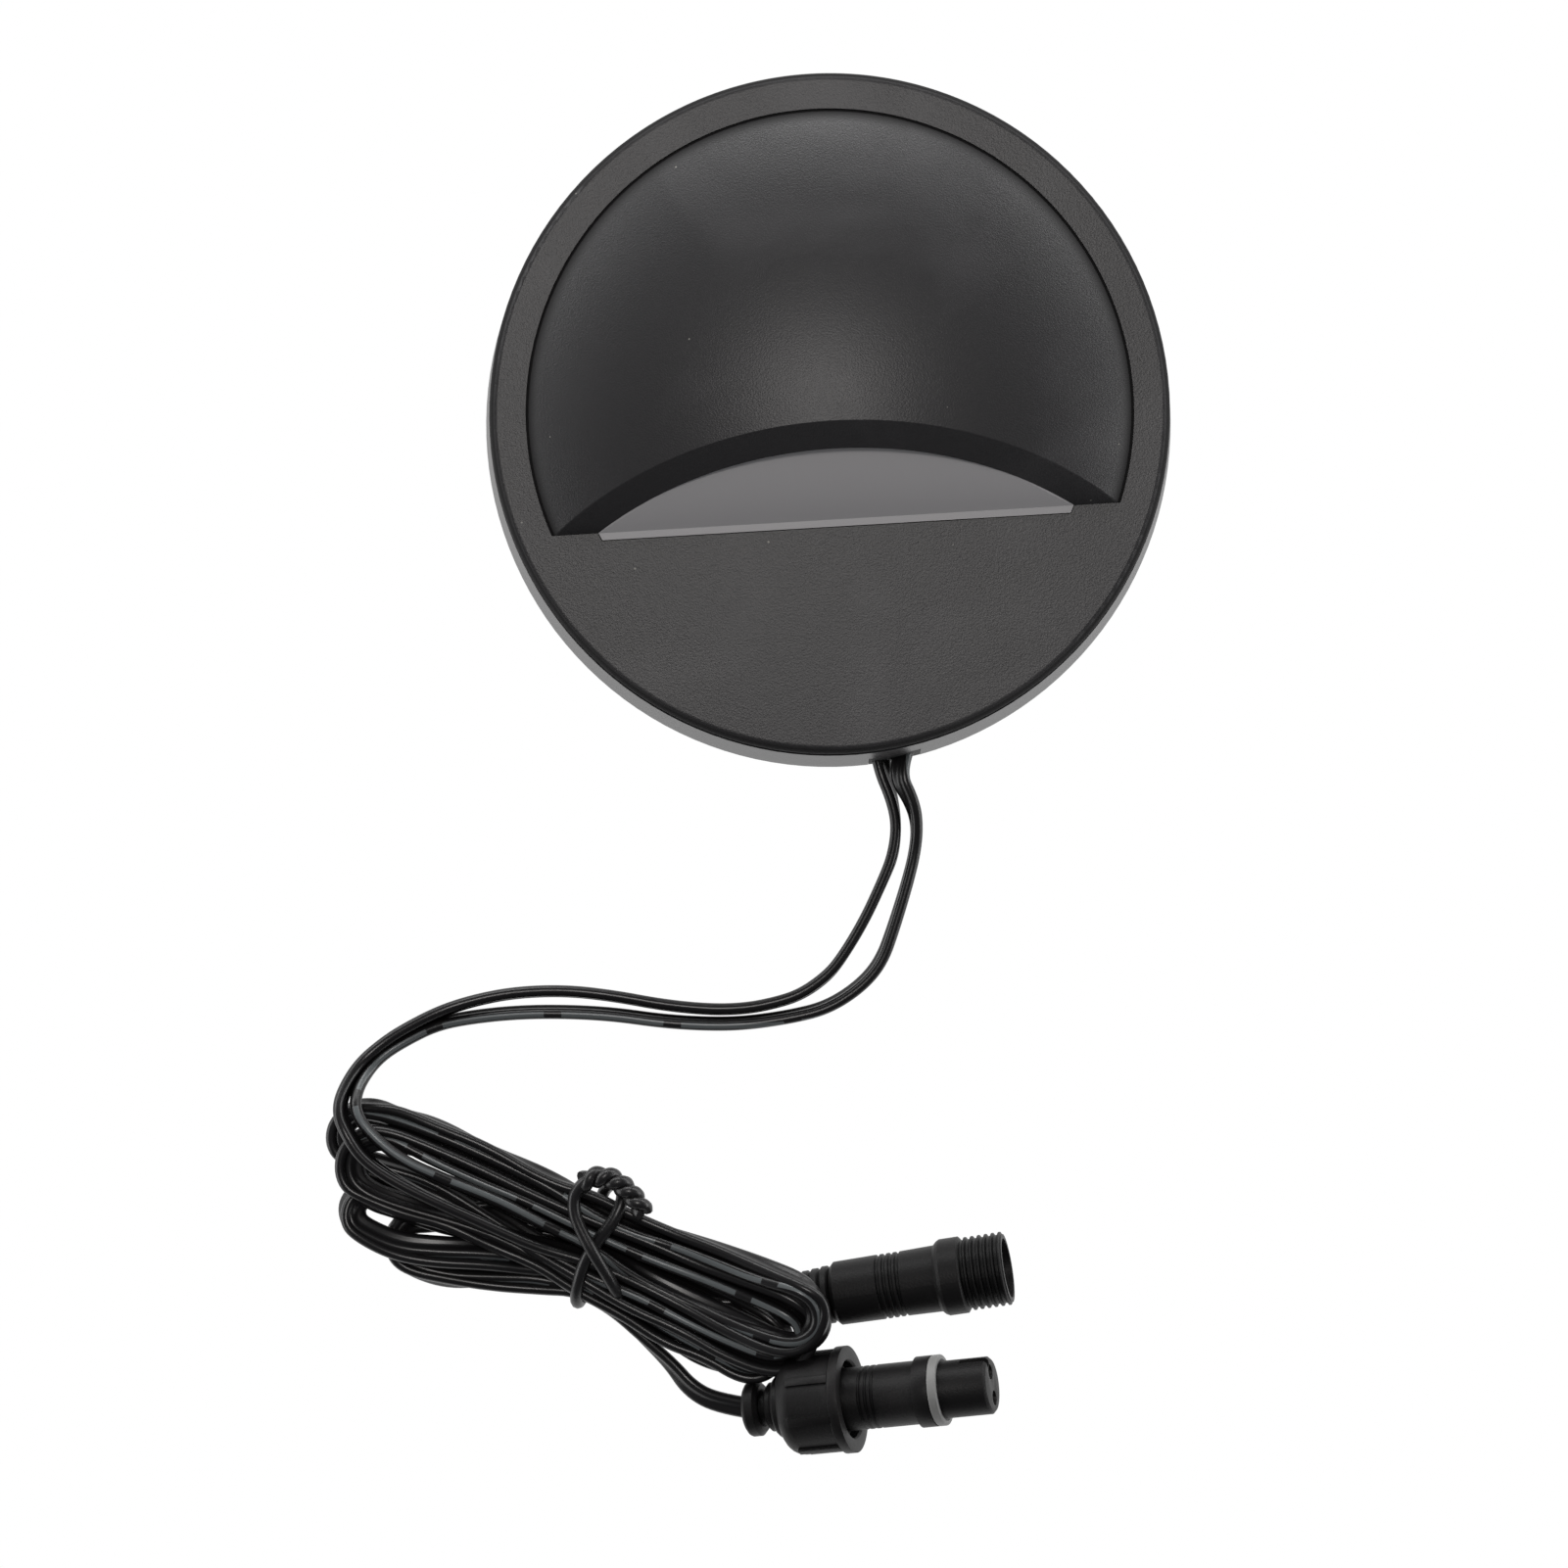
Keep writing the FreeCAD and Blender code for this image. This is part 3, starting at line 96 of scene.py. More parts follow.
def link(tree, source, target):
    """Joins an output to an input."""
    tree.links.new(source, target)


table_glow = bpy.data.materials.new("table_glow")
table_glow.use_nodes = True
tree = table_glow.node_tree
tree.nodes.clear()
glowing = node(tree, "ShaderNodeEmission", Color=(1, 1, 1, 1), Strength=1.0)
clear = node(tree, "ShaderNodeBsdfTransparent")
side = node(tree, "ShaderNodeNewGeometry")
either = node(tree, "ShaderNodeMixShader")
link(tree, side.outputs["Backfacing"], either.inputs[0])
link(tree, glowing.outputs[0], either.inputs[1])
link(tree, clear.outputs[0], either.inputs[2])
link(tree, either.outputs[0], node(tree, "ShaderNodeOutputMaterial").inputs["Surface"])
table_mesh.materials.append(table_glow)


def softbox(name, azimuth, zenith, distance, size, power, colour=(1, 1, 1)):
    """A light aimed at the middle of the disc, in metres; azimuth from +X, zenith from straight up."""
    data = bpy.data.lights.new(name, "AREA")
    data.shape = "RECTANGLE"
    data.size, data.size_y = size
    data.energy = power
    data.color = colour
    light = bpy.data.objects.new(name, data)
    a, z = math.radians(azimuth), math.radians(zenith)
    way = Vector((math.sin(z) * math.cos(a), math.sin(z) * math.sin(a), math.cos(z)))
    light.location = way * distance
    light.rotation_euler = way.to_track_quat("Z", "Y").to_euler()
    scene.collection.objects.link(light)


softbox("light_overhead", 95, zenith=9, distance=1.3, size=(0.24, 0.24), power=4.6,
        colour=(1.0, 0.97, 0.95))
LOW_LIGHTS = ((-8, 4.5), (40, 4.5), (90, 6.5), (140, 4.5), (188, 3.5))  # azimuth and power
for azimuth, power in LOW_LIGHTS:
    softbox(f"light_low_{azimuth + 90}", azimuth, zenith=78, distance=1.1, size=(0.85, 0.35), power=power)

# ---- front cover ----
# The round face with its hood, moulded in one piece of black plastic and held from the back
# by four screws. The face has a fine moulded grain, a few specks of dust and faint smears.


def feed(tree, value, target):
    """Gives an input a socket to follow, or a plain value."""
    if isinstance(value, bpy.types.NodeSocket):
        link(tree, value, target)
    else:
        target.default_value = value


def maths(tree, operation, *values):
    """A maths node; each value is a socket or a number."""
    made = tree.nodes.new("ShaderNodeMath")
    made.operation = operation
    for target, value in zip(made.inputs, values):
        feed(tree, value, target)
    return made.outputs[0]


def blended(tree, share, low, high):
    """A colour between low and high; each is a socket or a colour, and share is a socket."""
    made = tree.nodes.new("ShaderNodeMix")
    made.data_type = "RGBA"
    link(tree, share, made.inputs[0])
    for target, value in ((made.inputs[6], low), (made.inputs[7], high)):
        feed(tree, value if isinstance(value, bpy.types.NodeSocket) else (*value, 1), target)
    return made.outputs[2]


def share_between(tree, value, low, high):
    """How far a socket's value has come from low to high, from 0 to 1."""
    made = node(tree, "ShaderNodeMapRange", From_Max=high)
    link(tree, value, made.inputs["Value"])
    feed(tree, low, made.inputs["From Min"])
    return made.outputs["Result"]


def object_place(tree):
    """Where a point lies on the object, in metres."""
    return tree.nodes.new("ShaderNodeTexCoord").outputs["Object"]


def parted(tree, vector):
    """The three numbers of a vector socket."""
    made = tree.nodes.new("ShaderNodeSeparateXYZ")
    link(tree, vector, made.inputs[0])
    return made.outputs


NUMBER, VECTOR = "NodeSocketFloat", "NodeSocketVector"


def new_group(name, inputs, outputs, kind="ShaderNodeTree"):
    """An empty node group with sockets of the given names and types."""
    tree = bpy.data.node_groups.new(name, kind)
    for way, sockets in (("INPUT", inputs), ("OUTPUT", outputs)):
        for label, socket_type in sockets.items():
            tree.interface.new_socket(label, in_out=way, socket_type=socket_type)
    return tree, tree.nodes.new("NodeGroupInput").outputs, tree.nodes.new("NodeGroupOutput").inputs


def grain_group():
    """Fine moulded grain: a value around 0.5 and a bumped normal. Size is grains per metre."""
    tree, given, out = new_group("moulded_grain", {"Size": NUMBER, "Depth": NUMBER},
                                 {"Value": NUMBER, "Normal": VECTOR})
    noise = node(tree, "ShaderNodeTexNoise", Detail=2.0, Roughness=0.6)
    bump = node(tree, "ShaderNodeBump", Distance=0.0001)
    link(tree, object_place(tree), noise.inputs["Vector"])
    link(tree, given["Size"], noise.inputs["Scale"])
    link(tree, given["Depth"], bump.inputs["Strength"])
    link(tree, noise.outputs["Fac"], bump.inputs["Height"])
    link(tree, noise.outputs["Fac"], out["Value"])
    link(tree, bump.outputs["Normal"], out["Normal"])
    return tree


def dust_group():
    """Sparse pale specks, at most one in each cell. Size is cells per metre, Share how many have one."""
    tree, given, out = new_group("dust_specks", {"Size": NUMBER, "Share": NUMBER, "Radius": NUMBER},
                                 {"Mask": NUMBER})
    cells = node(tree, "ShaderNodeTexVoronoi")
    link(tree, object_place(tree), cells.inputs["Vector"])
    link(tree, given["Size"], cells.inputs["Scale"])
    parts = tree.nodes.new("ShaderNodeSeparateColor")
    link(tree, cells.outputs["Color"], parts.inputs[0])
    small = maths(tree, "LESS_THAN", cells.outputs["Distance"], given["Radius"])
    chosen = maths(tree, "LESS_THAN", parts.outputs[0], given["Share"])
    link(tree, maths(tree, "MULTIPLY", small, chosen), out["Mask"])
    return tree


def smear_group():
    """Soft cloudy patches, as handling leaves on matte plastic. Size is patches per metre."""
    tree, given, out = new_group("faint_smears", {"Size": NUMBER, "Start": NUMBER}, {"Mask": NUMBER})
    noise = node(tree, "ShaderNodeTexNoise", Detail=3.0, Roughness=0.55, Distortion=0.6)
    link(tree, object_place(tree), noise.inputs["Vector"])
    link(tree, given["Size"], noise.inputs["Scale"])
    link(tree, share_between(tree, noise.outputs["Fac"], given["Start"], 1.0), out["Mask"])
    return tree


GRAIN, DUST, SMEARS = grain_group(), dust_group(), smear_group()


def placed(tree, group, **sockets):
    """A node group put into a material, with its values."""
    made = tree.nodes.new("ShaderNodeGroup")
    made.node_tree = group
    for name, value in sockets.items():
        made.inputs[name].default_value = value
    return made


def surface(name, roughness, specular=0.5, metallic=0.0):
    """A new material with its constant values on the shader's own sockets."""
    made = bpy.data.materials.new(name)
    made.use_nodes = True
    shader = made.node_tree.nodes["Principled BSDF"]
    shader.inputs["Roughness"].default_value = roughness
    shader.inputs["Specular IOR Level"].default_value = specular
    shader.inputs["Metallic"].default_value = metallic
    return made, made.node_tree, shader


def mottled(tree, grain, colour, mottle):
    """A colour made a little darker and lighter by the grain."""
    low, high = [c * (1 - mottle) for c in colour], [c * (1 + mottle) for c in colour]
    return blended(tree, grain.outputs["Value"], low, high)


def plastic(name, colour, roughness, grain_size=2600.0, grain_depth=0.25, mottle=0.15, specular=0.5):
    """A moulded plastic or rubber with fine grain and a slight mottle."""
    made, tree, shader = surface(name, roughness, specular)
    grain = placed(tree, GRAIN, Size=grain_size, Depth=grain_depth)
    link(tree, mottled(tree, grain, colour, mottle), shader.inputs["Base Color"])
    link(tree, grain.outputs["Normal"], shader.inputs["Normal"])
    return made


# Painted shade in hollows: its near-black colour and how steeply it falls off.
HOLLOW_SHADE_BLACK, HOLLOW_SHADE_FALL = (0.002, 0.002, 0.002), 4.0
HOLLOW_SHADE_SAMPLES = 8


def marked(material, smear=None, dust=None, hollow=None):
    """Adds smears (size, start, colour), dust (size, share, radius, colour) and painted shade that darkens
    hollows (mm).
    """
    tree = material.node_tree
    shader = tree.nodes["Principled BSDF"]
    colour = shader.inputs["Base Color"].links[0].from_socket
    if smear:
        patches = placed(tree, SMEARS, Size=smear[0], Start=smear[1])
        colour = blended(tree, patches.outputs["Mask"], colour, smear[2])
    if dust:
        specks = placed(tree, DUST, Size=dust[0], Share=dust[1], Radius=dust[2])
        colour = blended(tree, specks.outputs["Mask"], colour, dust[3])
    if hollow:
        # Painted shade: ambient occlusion darkens the colour in hollows.
        hollow_occlusion = node(tree, "ShaderNodeAmbientOcclusion", Distance=hollow * MM)
        hollow_occlusion.samples = HOLLOW_SHADE_SAMPLES
        unshaded_share = maths(tree, "POWER", hollow_occlusion.outputs["AO"], HOLLOW_SHADE_FALL)
        colour = blended(tree, unshaded_share, HOLLOW_SHADE_BLACK, colour)
    link(tree, colour, shader.inputs["Base Color"])
    return material


RIM_SHADE_STARTS, RIM_SHADE_FULL = 58.9, 59.3  # radii between which painted shade darkens the rolled edge
FOOT_SHADE_STARTS, FOOT_SHADE_FALL = 50.6, 1.6  # radius from which painted shade darkens the hood's foot, and how steeply
HOOD_R, GROOVE_W, CHORD_Y = 53.0, 0.5, -18.8
EDGE_SHADE_BLACK, EDGE_DULL = (0.004, 0.0035, 0.004), 0.5


def painted_rim_shade(material):
    """Paints shade on the cover's rolled edge and on the hood where it meets the groove round it, and dulls
    them.
    """
    tree = material.node_tree
    shader = tree.nodes["Principled BSDF"]
    colour = shader.inputs["Base Color"].links[0].from_socket
    place = parted(tree, object_place(tree))
    x, y = place["X"], place["Y"]
    squares = maths(tree, "ADD", maths(tree, "MULTIPLY", x, x), maths(tree, "MULTIPLY", y, y))
    radius = maths(tree, "SQRT", squares)
    rim_shade = share_between(tree, radius, RIM_SHADE_STARTS * MM, RIM_SHADE_FULL * MM)
    foot_shade = share_between(tree, radius, FOOT_SHADE_STARTS * MM, HOOD_R * MM)
    foot_shade = maths(tree, "POWER", foot_shade, FOOT_SHADE_FALL)
    above_chord = maths(tree, "GREATER_THAN", y, CHORD_Y * MM)
    inside = maths(tree, "LESS_THAN", radius, (HOOD_R + GROOVE_W) * MM)
    foot_shade = maths(tree, "MULTIPLY", foot_shade, maths(tree, "MULTIPLY", above_chord, inside))
    shade = maths(tree, "MAXIMUM", rim_shade, foot_shade)
    link(tree, blended(tree, shade, colour, EDGE_SHADE_BLACK), shader.inputs["Base Color"])
    roughness = shader.inputs["Roughness"]
    link(tree, maths(tree, "MULTIPLY_ADD", shade, EDGE_DULL, roughness.default_value), roughness)


def paint(material, *names):
    """Gives carried-over nodes their finish."""
    for name in names:
        nodes[name].data.materials.clear()
        nodes[name].data.materials.append(material)


COVER_SMEAR = (26.0, 0.52, (0.06, 0.058, 0.06))
COVER_DUST = (160.0, 0.4, 0.032, (0.22, 0.21, 0.19))
cover_black = plastic("cover_black", (0.0185, 0.0176, 0.0187), 0.4, grain_size=3200.0, grain_depth=0.5,
                      mottle=0.3)
# Painted shade darkens the cover's hollows, its rolled edge and the hood's foot.
marked(cover_black, smear=COVER_SMEAR, dust=COVER_DUST, hollow=4.0)
painted_rim_shade(cover_black)
paint(cover_black, "front_cover")

# ---- lens and its gasket ----
# A frosted, smoked crescent moulded with a flush front ledge, pressed into the hood's mouth
# over a thin rubber gasket. Its colour is painted light and shade: paler towards the crest, darker towards
# its low edge.
LENS_SHADED, LENS_LIT = (0.37, 0.362, 0.37), (0.5, 0.49, 0.49)
FROST_SPREAD = 0.12
lens_smoke, tree, shader = surface("lens_smoke", 0.4, 0.4)
frost = placed(tree, GRAIN, Size=3600.0, Depth=0.12)
low_edge, high_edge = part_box("lens")
# Painted light and shade: the colour grows paler from the lens's low edge up to its crest.
painted_light_share = share_between(tree, parted(tree, object_place(tree))["Y"], low_edge[1], high_edge[1])
unevenness = maths(tree, "MULTIPLY_ADD", frost.outputs["Value"], FROST_SPREAD, -FROST_SPREAD / 2)
frost_and_painted_light = maths(tree, "ADD", painted_light_share, unevenness)
link(tree, blended(tree, frost_and_painted_light, LENS_SHADED, LENS_LIT), shader.inputs["Base Color"])
link(tree, frost.outputs["Normal"], shader.inputs["Normal"])
paint(lens_smoke, "lens")
rubber_black = plastic("rubber_black", (0.02, 0.02, 0.02), 0.7, grain_size=1800.0)
paint(rubber_black, "lens_gasket")

# ---- reflector, light board and heat spreader ----
# A white moulded tray behind the lens, a white board with its row of diodes, and the bent
# aluminium sheet that carries their heat to the housing, with two small screws.
reflector_white = plastic("reflector_white", (0.82, 0.82, 0.81), 0.25, grain_size=900.0,
                          grain_depth=0.05, mottle=0.02)
paint(reflector_white, "reflector")
board_white = plastic("board_white", (0.8, 0.8, 0.78), 0.35, grain_size=5000.0, grain_depth=0.1,
                      mottle=0.03)
paint(board_white, "led_board")
phosphor_yellow = plastic("phosphor_yellow", (0.86, 0.62, 0.12), 0.3, grain_size=9000.0,
                          grain_depth=0.2, mottle=0.08)
paint(phosphor_yellow, "leds")


METAL_MOTTLE, METAL_WEAR = 0.06, 0.24


def metal(name, colour, roughness, brush_size):
    """A plain metal with fine scratches that change its roughness and colour a little."""
    made, tree, shader = surface(name, roughness, metallic=1.0)
    grain = placed(tree, GRAIN, Size=brush_size, Depth=0.15)
    link(tree, mottled(tree, grain, colour, METAL_MOTTLE), shader.inputs["Base Color"])
    worn = maths(tree, "MULTIPLY_ADD", grain.outputs["Value"], METAL_WEAR, roughness - METAL_WEAR / 2)
    link(tree, worn, shader.inputs["Roughness"])
    link(tree, grain.outputs["Normal"], shader.inputs["Normal"])
    return made


sheet_aluminium = metal("sheet_aluminium", (0.76, 0.77, 0.78), 0.38, 1400.0)
paint(sheet_aluminium, "heat_spreader")
screw_steel = metal("screw_steel", (0.6, 0.6, 0.61), 0.3, 4000.0)
paint(screw_steel, "board_screws", "driver_screws", "cover_screws", "clamp_screws")

# ---- driver board and its components ----
# A green glass-fibre board screwed to posts in the housing. Its rectifier, coil, chip and
# resistors are black mouldings, and the smoothing capacitor is a can in a dark sleeve.
board_green = plastic("board_green", (0.03, 0.2, 0.08), 0.3, grain_size=5200.0, grain_depth=0.3,
                      mottle=0.22)
paint(board_green, "driver_board")
component_black = plastic("component_black", (0.022, 0.022, 0.024), 0.38, grain_size=6000.0)
paint(component_black, "bridge_rectifier", "inductor", "driver_chip", "resistors")
sleeve_dark = plastic("sleeve_dark", (0.03, 0.032, 0.045), 0.22, grain_size=1200.0,
                      grain_depth=0.05)
paint(sleeve_dark, "smoothing_capacitor")

# ---- rear housing ----
# The deep black shell behind the cover, with a drafted side wall that shows as a lighter
# band below the parting line. A foam ring is laid between it and the cover.
housing_black = plastic("housing_black", (0.034, 0.032, 0.033), 0.4, grain_size=2400.0,
                        grain_depth=0.35, mottle=0.2)
marked(housing_black, smear=(34.0, 0.55, (0.07, 0.068, 0.07)))
paint(housing_black, "rear_housing")
paint(rubber_black, "cover_seal")

# ---- wall plate and its gasket ----
# The moulded plate that is screwed to the wall first, with two slotted holes and three lugs,
# and the soft foam ring that seals the housing against the wall.
plate_black = plastic("plate_black", (0.032, 0.031, 0.031), 0.5, grain_size=2200.0, grain_depth=0.5,
                      mottle=0.2)
marked(plate_black, smear=(40.0, 0.56, (0.06, 0.06, 0.06)))
paint(plate_black, "wall_plate")
foam_black = plastic("foam_black", (0.024, 0.024, 0.024), 0.85, grain_size=1300.0, grain_depth=0.9,
                     mottle=0.45)
paint(foam_black, "wall_gasket")

# ---- cable gland, clamp and wires ----
# Both leads pass a rubber gland in the housing's low edge and lie under a screwed clamp. A drafted
# rubber lip closes the notch round them. Their cores are bared and run to the driver, and two thin
# wires feed the light board.
paint(rubber_black, "cable_gland")
paint(plate_black, "cord_clamp")
LIP_LEVELS = ((0.3, 62.15), (7.1, 61.2))  # height and outer radius
LIP_XS = (3.65, 6.0, 8.3, 10.6, 12.95)
LIP_BACK_Y = -57.2
lip_verts = []
for height, lip_r in LIP_LEVELS:
    lip_verts += [(x * MM, -math.sqrt(lip_r ** 2 - x ** 2) * MM, height * MM) for x in LIP_XS]
    lip_verts += [(x * MM, LIP_BACK_Y * MM, height * MM) for x in (LIP_XS[-1], LIP_XS[0])]
rows = len(lip_verts) // 2
lip_faces = [tuple(reversed(range(rows))), tuple(range(rows, 2 * rows))]
lip_faces += [(i, (i + 1) % rows, rows + (i + 1) % rows, rows + i) for i in range(rows)]
lip_mesh = bpy.data.meshes.new("gland_lip")
lip_mesh.from_pydata(lip_verts, [], lip_faces)
lip_mesh.materials.append(rubber_black)
gland_lip = bpy.data.objects.new("gland_lip", lip_mesh)
scene.collection.objects.link(gland_lip)
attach(gland_lip, "light")
wire_red = plastic("wire_red", (0.5, 0.03, 0.025), 0.35, grain_size=1500.0, grain_depth=0.05,
                   mottle=0.06)
paint(wire_red, "core_wires_plus", "led_feed_wires")
wire_black = plastic("wire_black", (0.018, 0.018, 0.019), 0.35, grain_size=1500.0, grain_depth=0.05)
paint(wire_black, "core_wires_minus", "lead_ends")

# ---- leads ----
# Two flat two-core leads with satin black jackets, one with a dashed grey stripe. They run
# together to a hank of four turns, and then each to its own connector. Each route is its free
# run up to the hank (x, y and height), the hank's turns and its last stretch.
LEAD_T = 2.0
LEAD_A_FREE = (
    (11.0, -57.8, 2.0), (8.2, -63.5, 4.4), (11.0, -69.3, 3.9), (11.7, -73.6, 2.8), (11.1, -78.2, 1.9),
    (9.4, -83.7, 2.0), (6.5, -91.5, 2.0), (3.8, -97.9, 2.0), (-0.4, -102.2, 2.0), (-6.5, -105.6, 2.0),
    (-13.0, -106.8, 2.0), (-21.0, -107.5, 2.0), (-27.7, -107.3, 2.0), (-36.2, -106.3, 2.0),
    (-45.1, -104.5, 2.0), (-53.9, -103.5, 2.0), (-62.8, -103.1, 2.0), (-71.3, -103.5, 2.0),
    (-77.4, -104.4, 2.0), (-83.4, -107.0, 2.1), (-87.3, -109.2, 2.7), (-89.9, -111.8, 3.8),
    (-91.7, -115.1, 6.6), (-91.9, -118.6, 9.4), (-89.5, -122.4, 10.4),
)
LEAD_B_FREE = (
    (5.6, -57.8, 2.0), (6.0, -63.2, 2.0), (7.5, -68.6, 2.0), (8.0, -73.4, 2.0), (7.1, -78.7, 2.0),
    (5.1, -82.9, 2.0), (1.1, -90.4, 2.0), (-3.7, -97.3, 2.0), (-6.7, -100.3, 2.0), (-11.4, -103.1, 2.0),
    (-16.5, -104.3, 2.0), (-21.5, -104.9, 2.0), (-27.7, -104.7, 2.0), (-36.0, -103.4, 2.0),
    (-44.9, -101.2, 2.0), (-53.6, -99.7, 2.0), (-62.7, -99.5, 2.0), (-70.3, -100.5, 2.4),
    (-76.5, -102.1, 3.1), (-82.8, -104.9, 3.2), (-86.7, -107.1, 3.3), (-91.2, -110.5, 4.1),
    (-94.1, -115.1, 7.1), (-94.7, -118.6, 9.5), (-93.3, -122.1, 11.0), (-90.8, -126.6, 10.9),
)
LEAD_B_TAIL = (
    (-43.0, -163.5, 2.2), (-38.5, -168.2, 2.4), (-35.2, -172.8, 3.4), (-30.4, -175.4, 4.8),
    (-24.1, -176.4, 6.2),
)

# The hank is described from the tie: millimetres along it to the right, across it towards the light,
# the height of the middle of the pair of leads, and how far the striped lead leans, in degrees.
# A fifth number moves the two leads further apart.
TIE = Vector((-51.2, -146.0, 0))
ALONG = Vector((0.916, -0.401, 0)).normalized()
ACROSS = Vector((-ALONG.y, ALONG.x, 0))
SHOWN, HIDDEN = 12, -58  # leans that turn the stripe up, or into the next lead
RIGHT, LEFT = 1, -1
FOLD_STEPS = 4


def fold(end, along, across, radius, start_height, end_height, lean):
    """The points of a half turn about a middle, at the right or the left end of the hank."""
    points = []
    for i in range(FOLD_STEPS + 1):
        share = i / FOLD_STEPS
        angle = math.pi * (share - 0.5)
        points.append((along + end * radius * math.cos(angle), across + end * radius * math.sin(angle),
                       start_height + (end_height - start_height) * share, lean))
    return points


ARRIVAL = [(-38.0, 1.9, 10.4, SHOWN, 0.9), (-30.0, 0.9, 9.6, SHOWN, 1.1), (-19.0, -0.2, 7.8, SHOWN, 1.5),
           (-9.0, -0.8, 6.6, SHOWN, 0.8)]
# over the middle, round the right end, and back along the top edge to the two left tips
TOP_TURN = (
    [(0.0, -0.8, 6.2, SHOWN), (9.0, -2.4, 6.2, HIDDEN), (19.0, -3.3, 6.8, HIDDEN), (28.0, -3.6, 9.0, HIDDEN)]
    + fold(RIGHT, 37.1, 2.1, 5.6, 12.8, 15.2, -20)
    + [(30.0, 7.5, 12.0, SHOWN), (22.0, 7.2, 8.6, SHOWN), (13.0, 6.6, 6.4, SHOWN), (5.0, 6.5, 6.2, SHOWN),
       (-3.0, 7.5, 6.2, SHOWN), (-12.0, 8.1, 6.2, HIDDEN), (-24.0, 9.3, 6.0, HIDDEN), (-34.0, 10.1, 5.6, -20),
       (-41.0, 9.8, 4.8, -20)]
    + fold(LEFT, -45.7, 4.3, 4.9, 3.8, 2.6, -30)
    + [(-41.0, -0.4, 2.3, -30), (-32.0, 0.6, 2.2, HIDDEN), (-20.0, -1.8, 3.0, HIDDEN),
       (-9.0, -3.8, 5.0, HIDDEN)])
# the lower striped strand, the middle of the top, and the short loop at the left
MIDDLE_TURN = (
    [(0.0, -4.8, 6.2, HIDDEN), (10.0, -6.2, 6.4, SHOWN), (20.0, -7.6, 6.8, SHOWN), (29.0, -7.9, 8.6, SHOWN)]
    + fold(RIGHT, 36.4, -2.0, 5.5, 10.2, 12.0, SHOWN)
    + [(29.0, 3.4, 9.8, SHOWN), (20.0, 3.2, 7.2, SHOWN), (10.0, 3.1, 6.3, SHOWN), (1.0, 3.5, 6.2, SHOWN),
       (-6.0, 4.6, 6.2, SHOWN), (-14.0, 5.2, 6.2, SHOWN), (-24.0, 5.8, 6.2, SHOWN), (-34.0, 6.4, 6.2, SHOWN)]
    + fold(LEFT, -41.0, 0.6, 5.8, 6.2, 6.2, HIDDEN)
    + [(-34.0, -5.1, 5.8, HIDDEN), (-26.0, -4.7, 5.0, HIDDEN), (-17.0, -4.3, 4.8, HIDDEN),
       (-8.0, -5.4, 4.8, HIDDEN)])
# the lowest strand of the right half and the large loop at the lower left
LOW_TURN = (
    [(0.0, -7.2, 4.8, HIDDEN), (9.0, -8.6, 4.8, SHOWN), (18.0, -10.2, 5.0, SHOWN), (26.0, -10.9, 5.8, SHOWN)]
    + fold(RIGHT, 33.4, -5.9, 5.0, 6.8, 6.6, HIDDEN)
    + [(26.0, -0.6, 3.6, HIDDEN), (17.0, 0.0, 2.2, HIDDEN), (8.0, 0.3, 2.0, HIDDEN), (-2.0, 0.2, 2.0, HIDDEN),
       (-13.0, -1.4, 2.0, HIDDEN), (-24.0, -3.2, 2.0, HIDDEN), (-33.0, -4.2, 2.0, HIDDEN)]
    + fold(LEFT, -39.9, -8.2, 3.9, 2.2, 4.2, HIDDEN)
    + [(-33.0, -12.3, 5.4, HIDDEN), (-26.0, -10.9, 5.2, HIDDEN, 0.4), (-17.0, -8.2, 4.2, HIDDEN, 0.4),
       (-8.0, -6.0, 2.6, HIDDEN)])
# under the others, down to the low edge at the left
BOTTOM_TURN = (
    [(0.0, -4.2, 2.0, HIDDEN), (11.0, -5.4, 2.0, HIDDEN), (20.0, -6.0, 2.0, HIDDEN)]
    + fold(RIGHT, 28.6, -0.6, 5.4, 2.0, 2.0, HIDDEN)
    + [(20.0, 4.8, 2.0, HIDDEN), (10.0, 4.9, 2.0, HIDDEN), (0.0, 4.8, 2.0, HIDDEN), (-11.0, 3.2, 2.0, HIDDEN),
       (-20.0, -0.4, 2.0, HIDDEN)]
    + fold(LEFT, -29.8, -10.3, 4.7, 2.0, 2.0, HIDDEN)
    + [(-22.5, -14.3, 2.0, HIDDEN), (-15.0, -11.8, 2.0, HIDDEN), (-7.0, -9.2, 2.0, HIDDEN)])
waypoints = ARRIVAL + TOP_TURN + MIDDLE_TURN + LOW_TURN + BOTTOM_TURN
LEAD_A_END = ((1.0, -7.2, 2.2, -60), (9.0, -6.6, 3.6, -85), (18.0, -4.4, 4.8, -90), (27.0, -1.8, 5.0, -90),
              (32.0, 0.8, 4.8, -60), (38.0, 4.2, 5.2, 0))
LEAD_B_START = ((0.0, -8.7, 2.0, 0), (7.0, -9.6, 2.0, 0))
PAIR_GAP = 0.03


def in_hank(point):
    """A hank point in millimetres of the part."""
    place = TIE + ALONG * point[0] + ACROSS * point[1]
    return Vector((place.x, place.y, point[2]))


def beside(waypoints, side):
    """One lead of the pair along the waypoints: side is 1 for the left of its way, -1 for the right."""
    places = [in_hank(point) for point in waypoints]
    moved = []
    for i, place in enumerate(places):
        way = places[min(i + 1, len(places) - 1)] - places[max(i - 1, 0)]
        left = Vector((-way.y, way.x, 0)).normalized()
        spread = LEAD_T / 2 + PAIR_GAP + (waypoints[i][4] if len(waypoints[i]) > 4 else 0)
        moved.append(place + left * spread * side)
    return moved


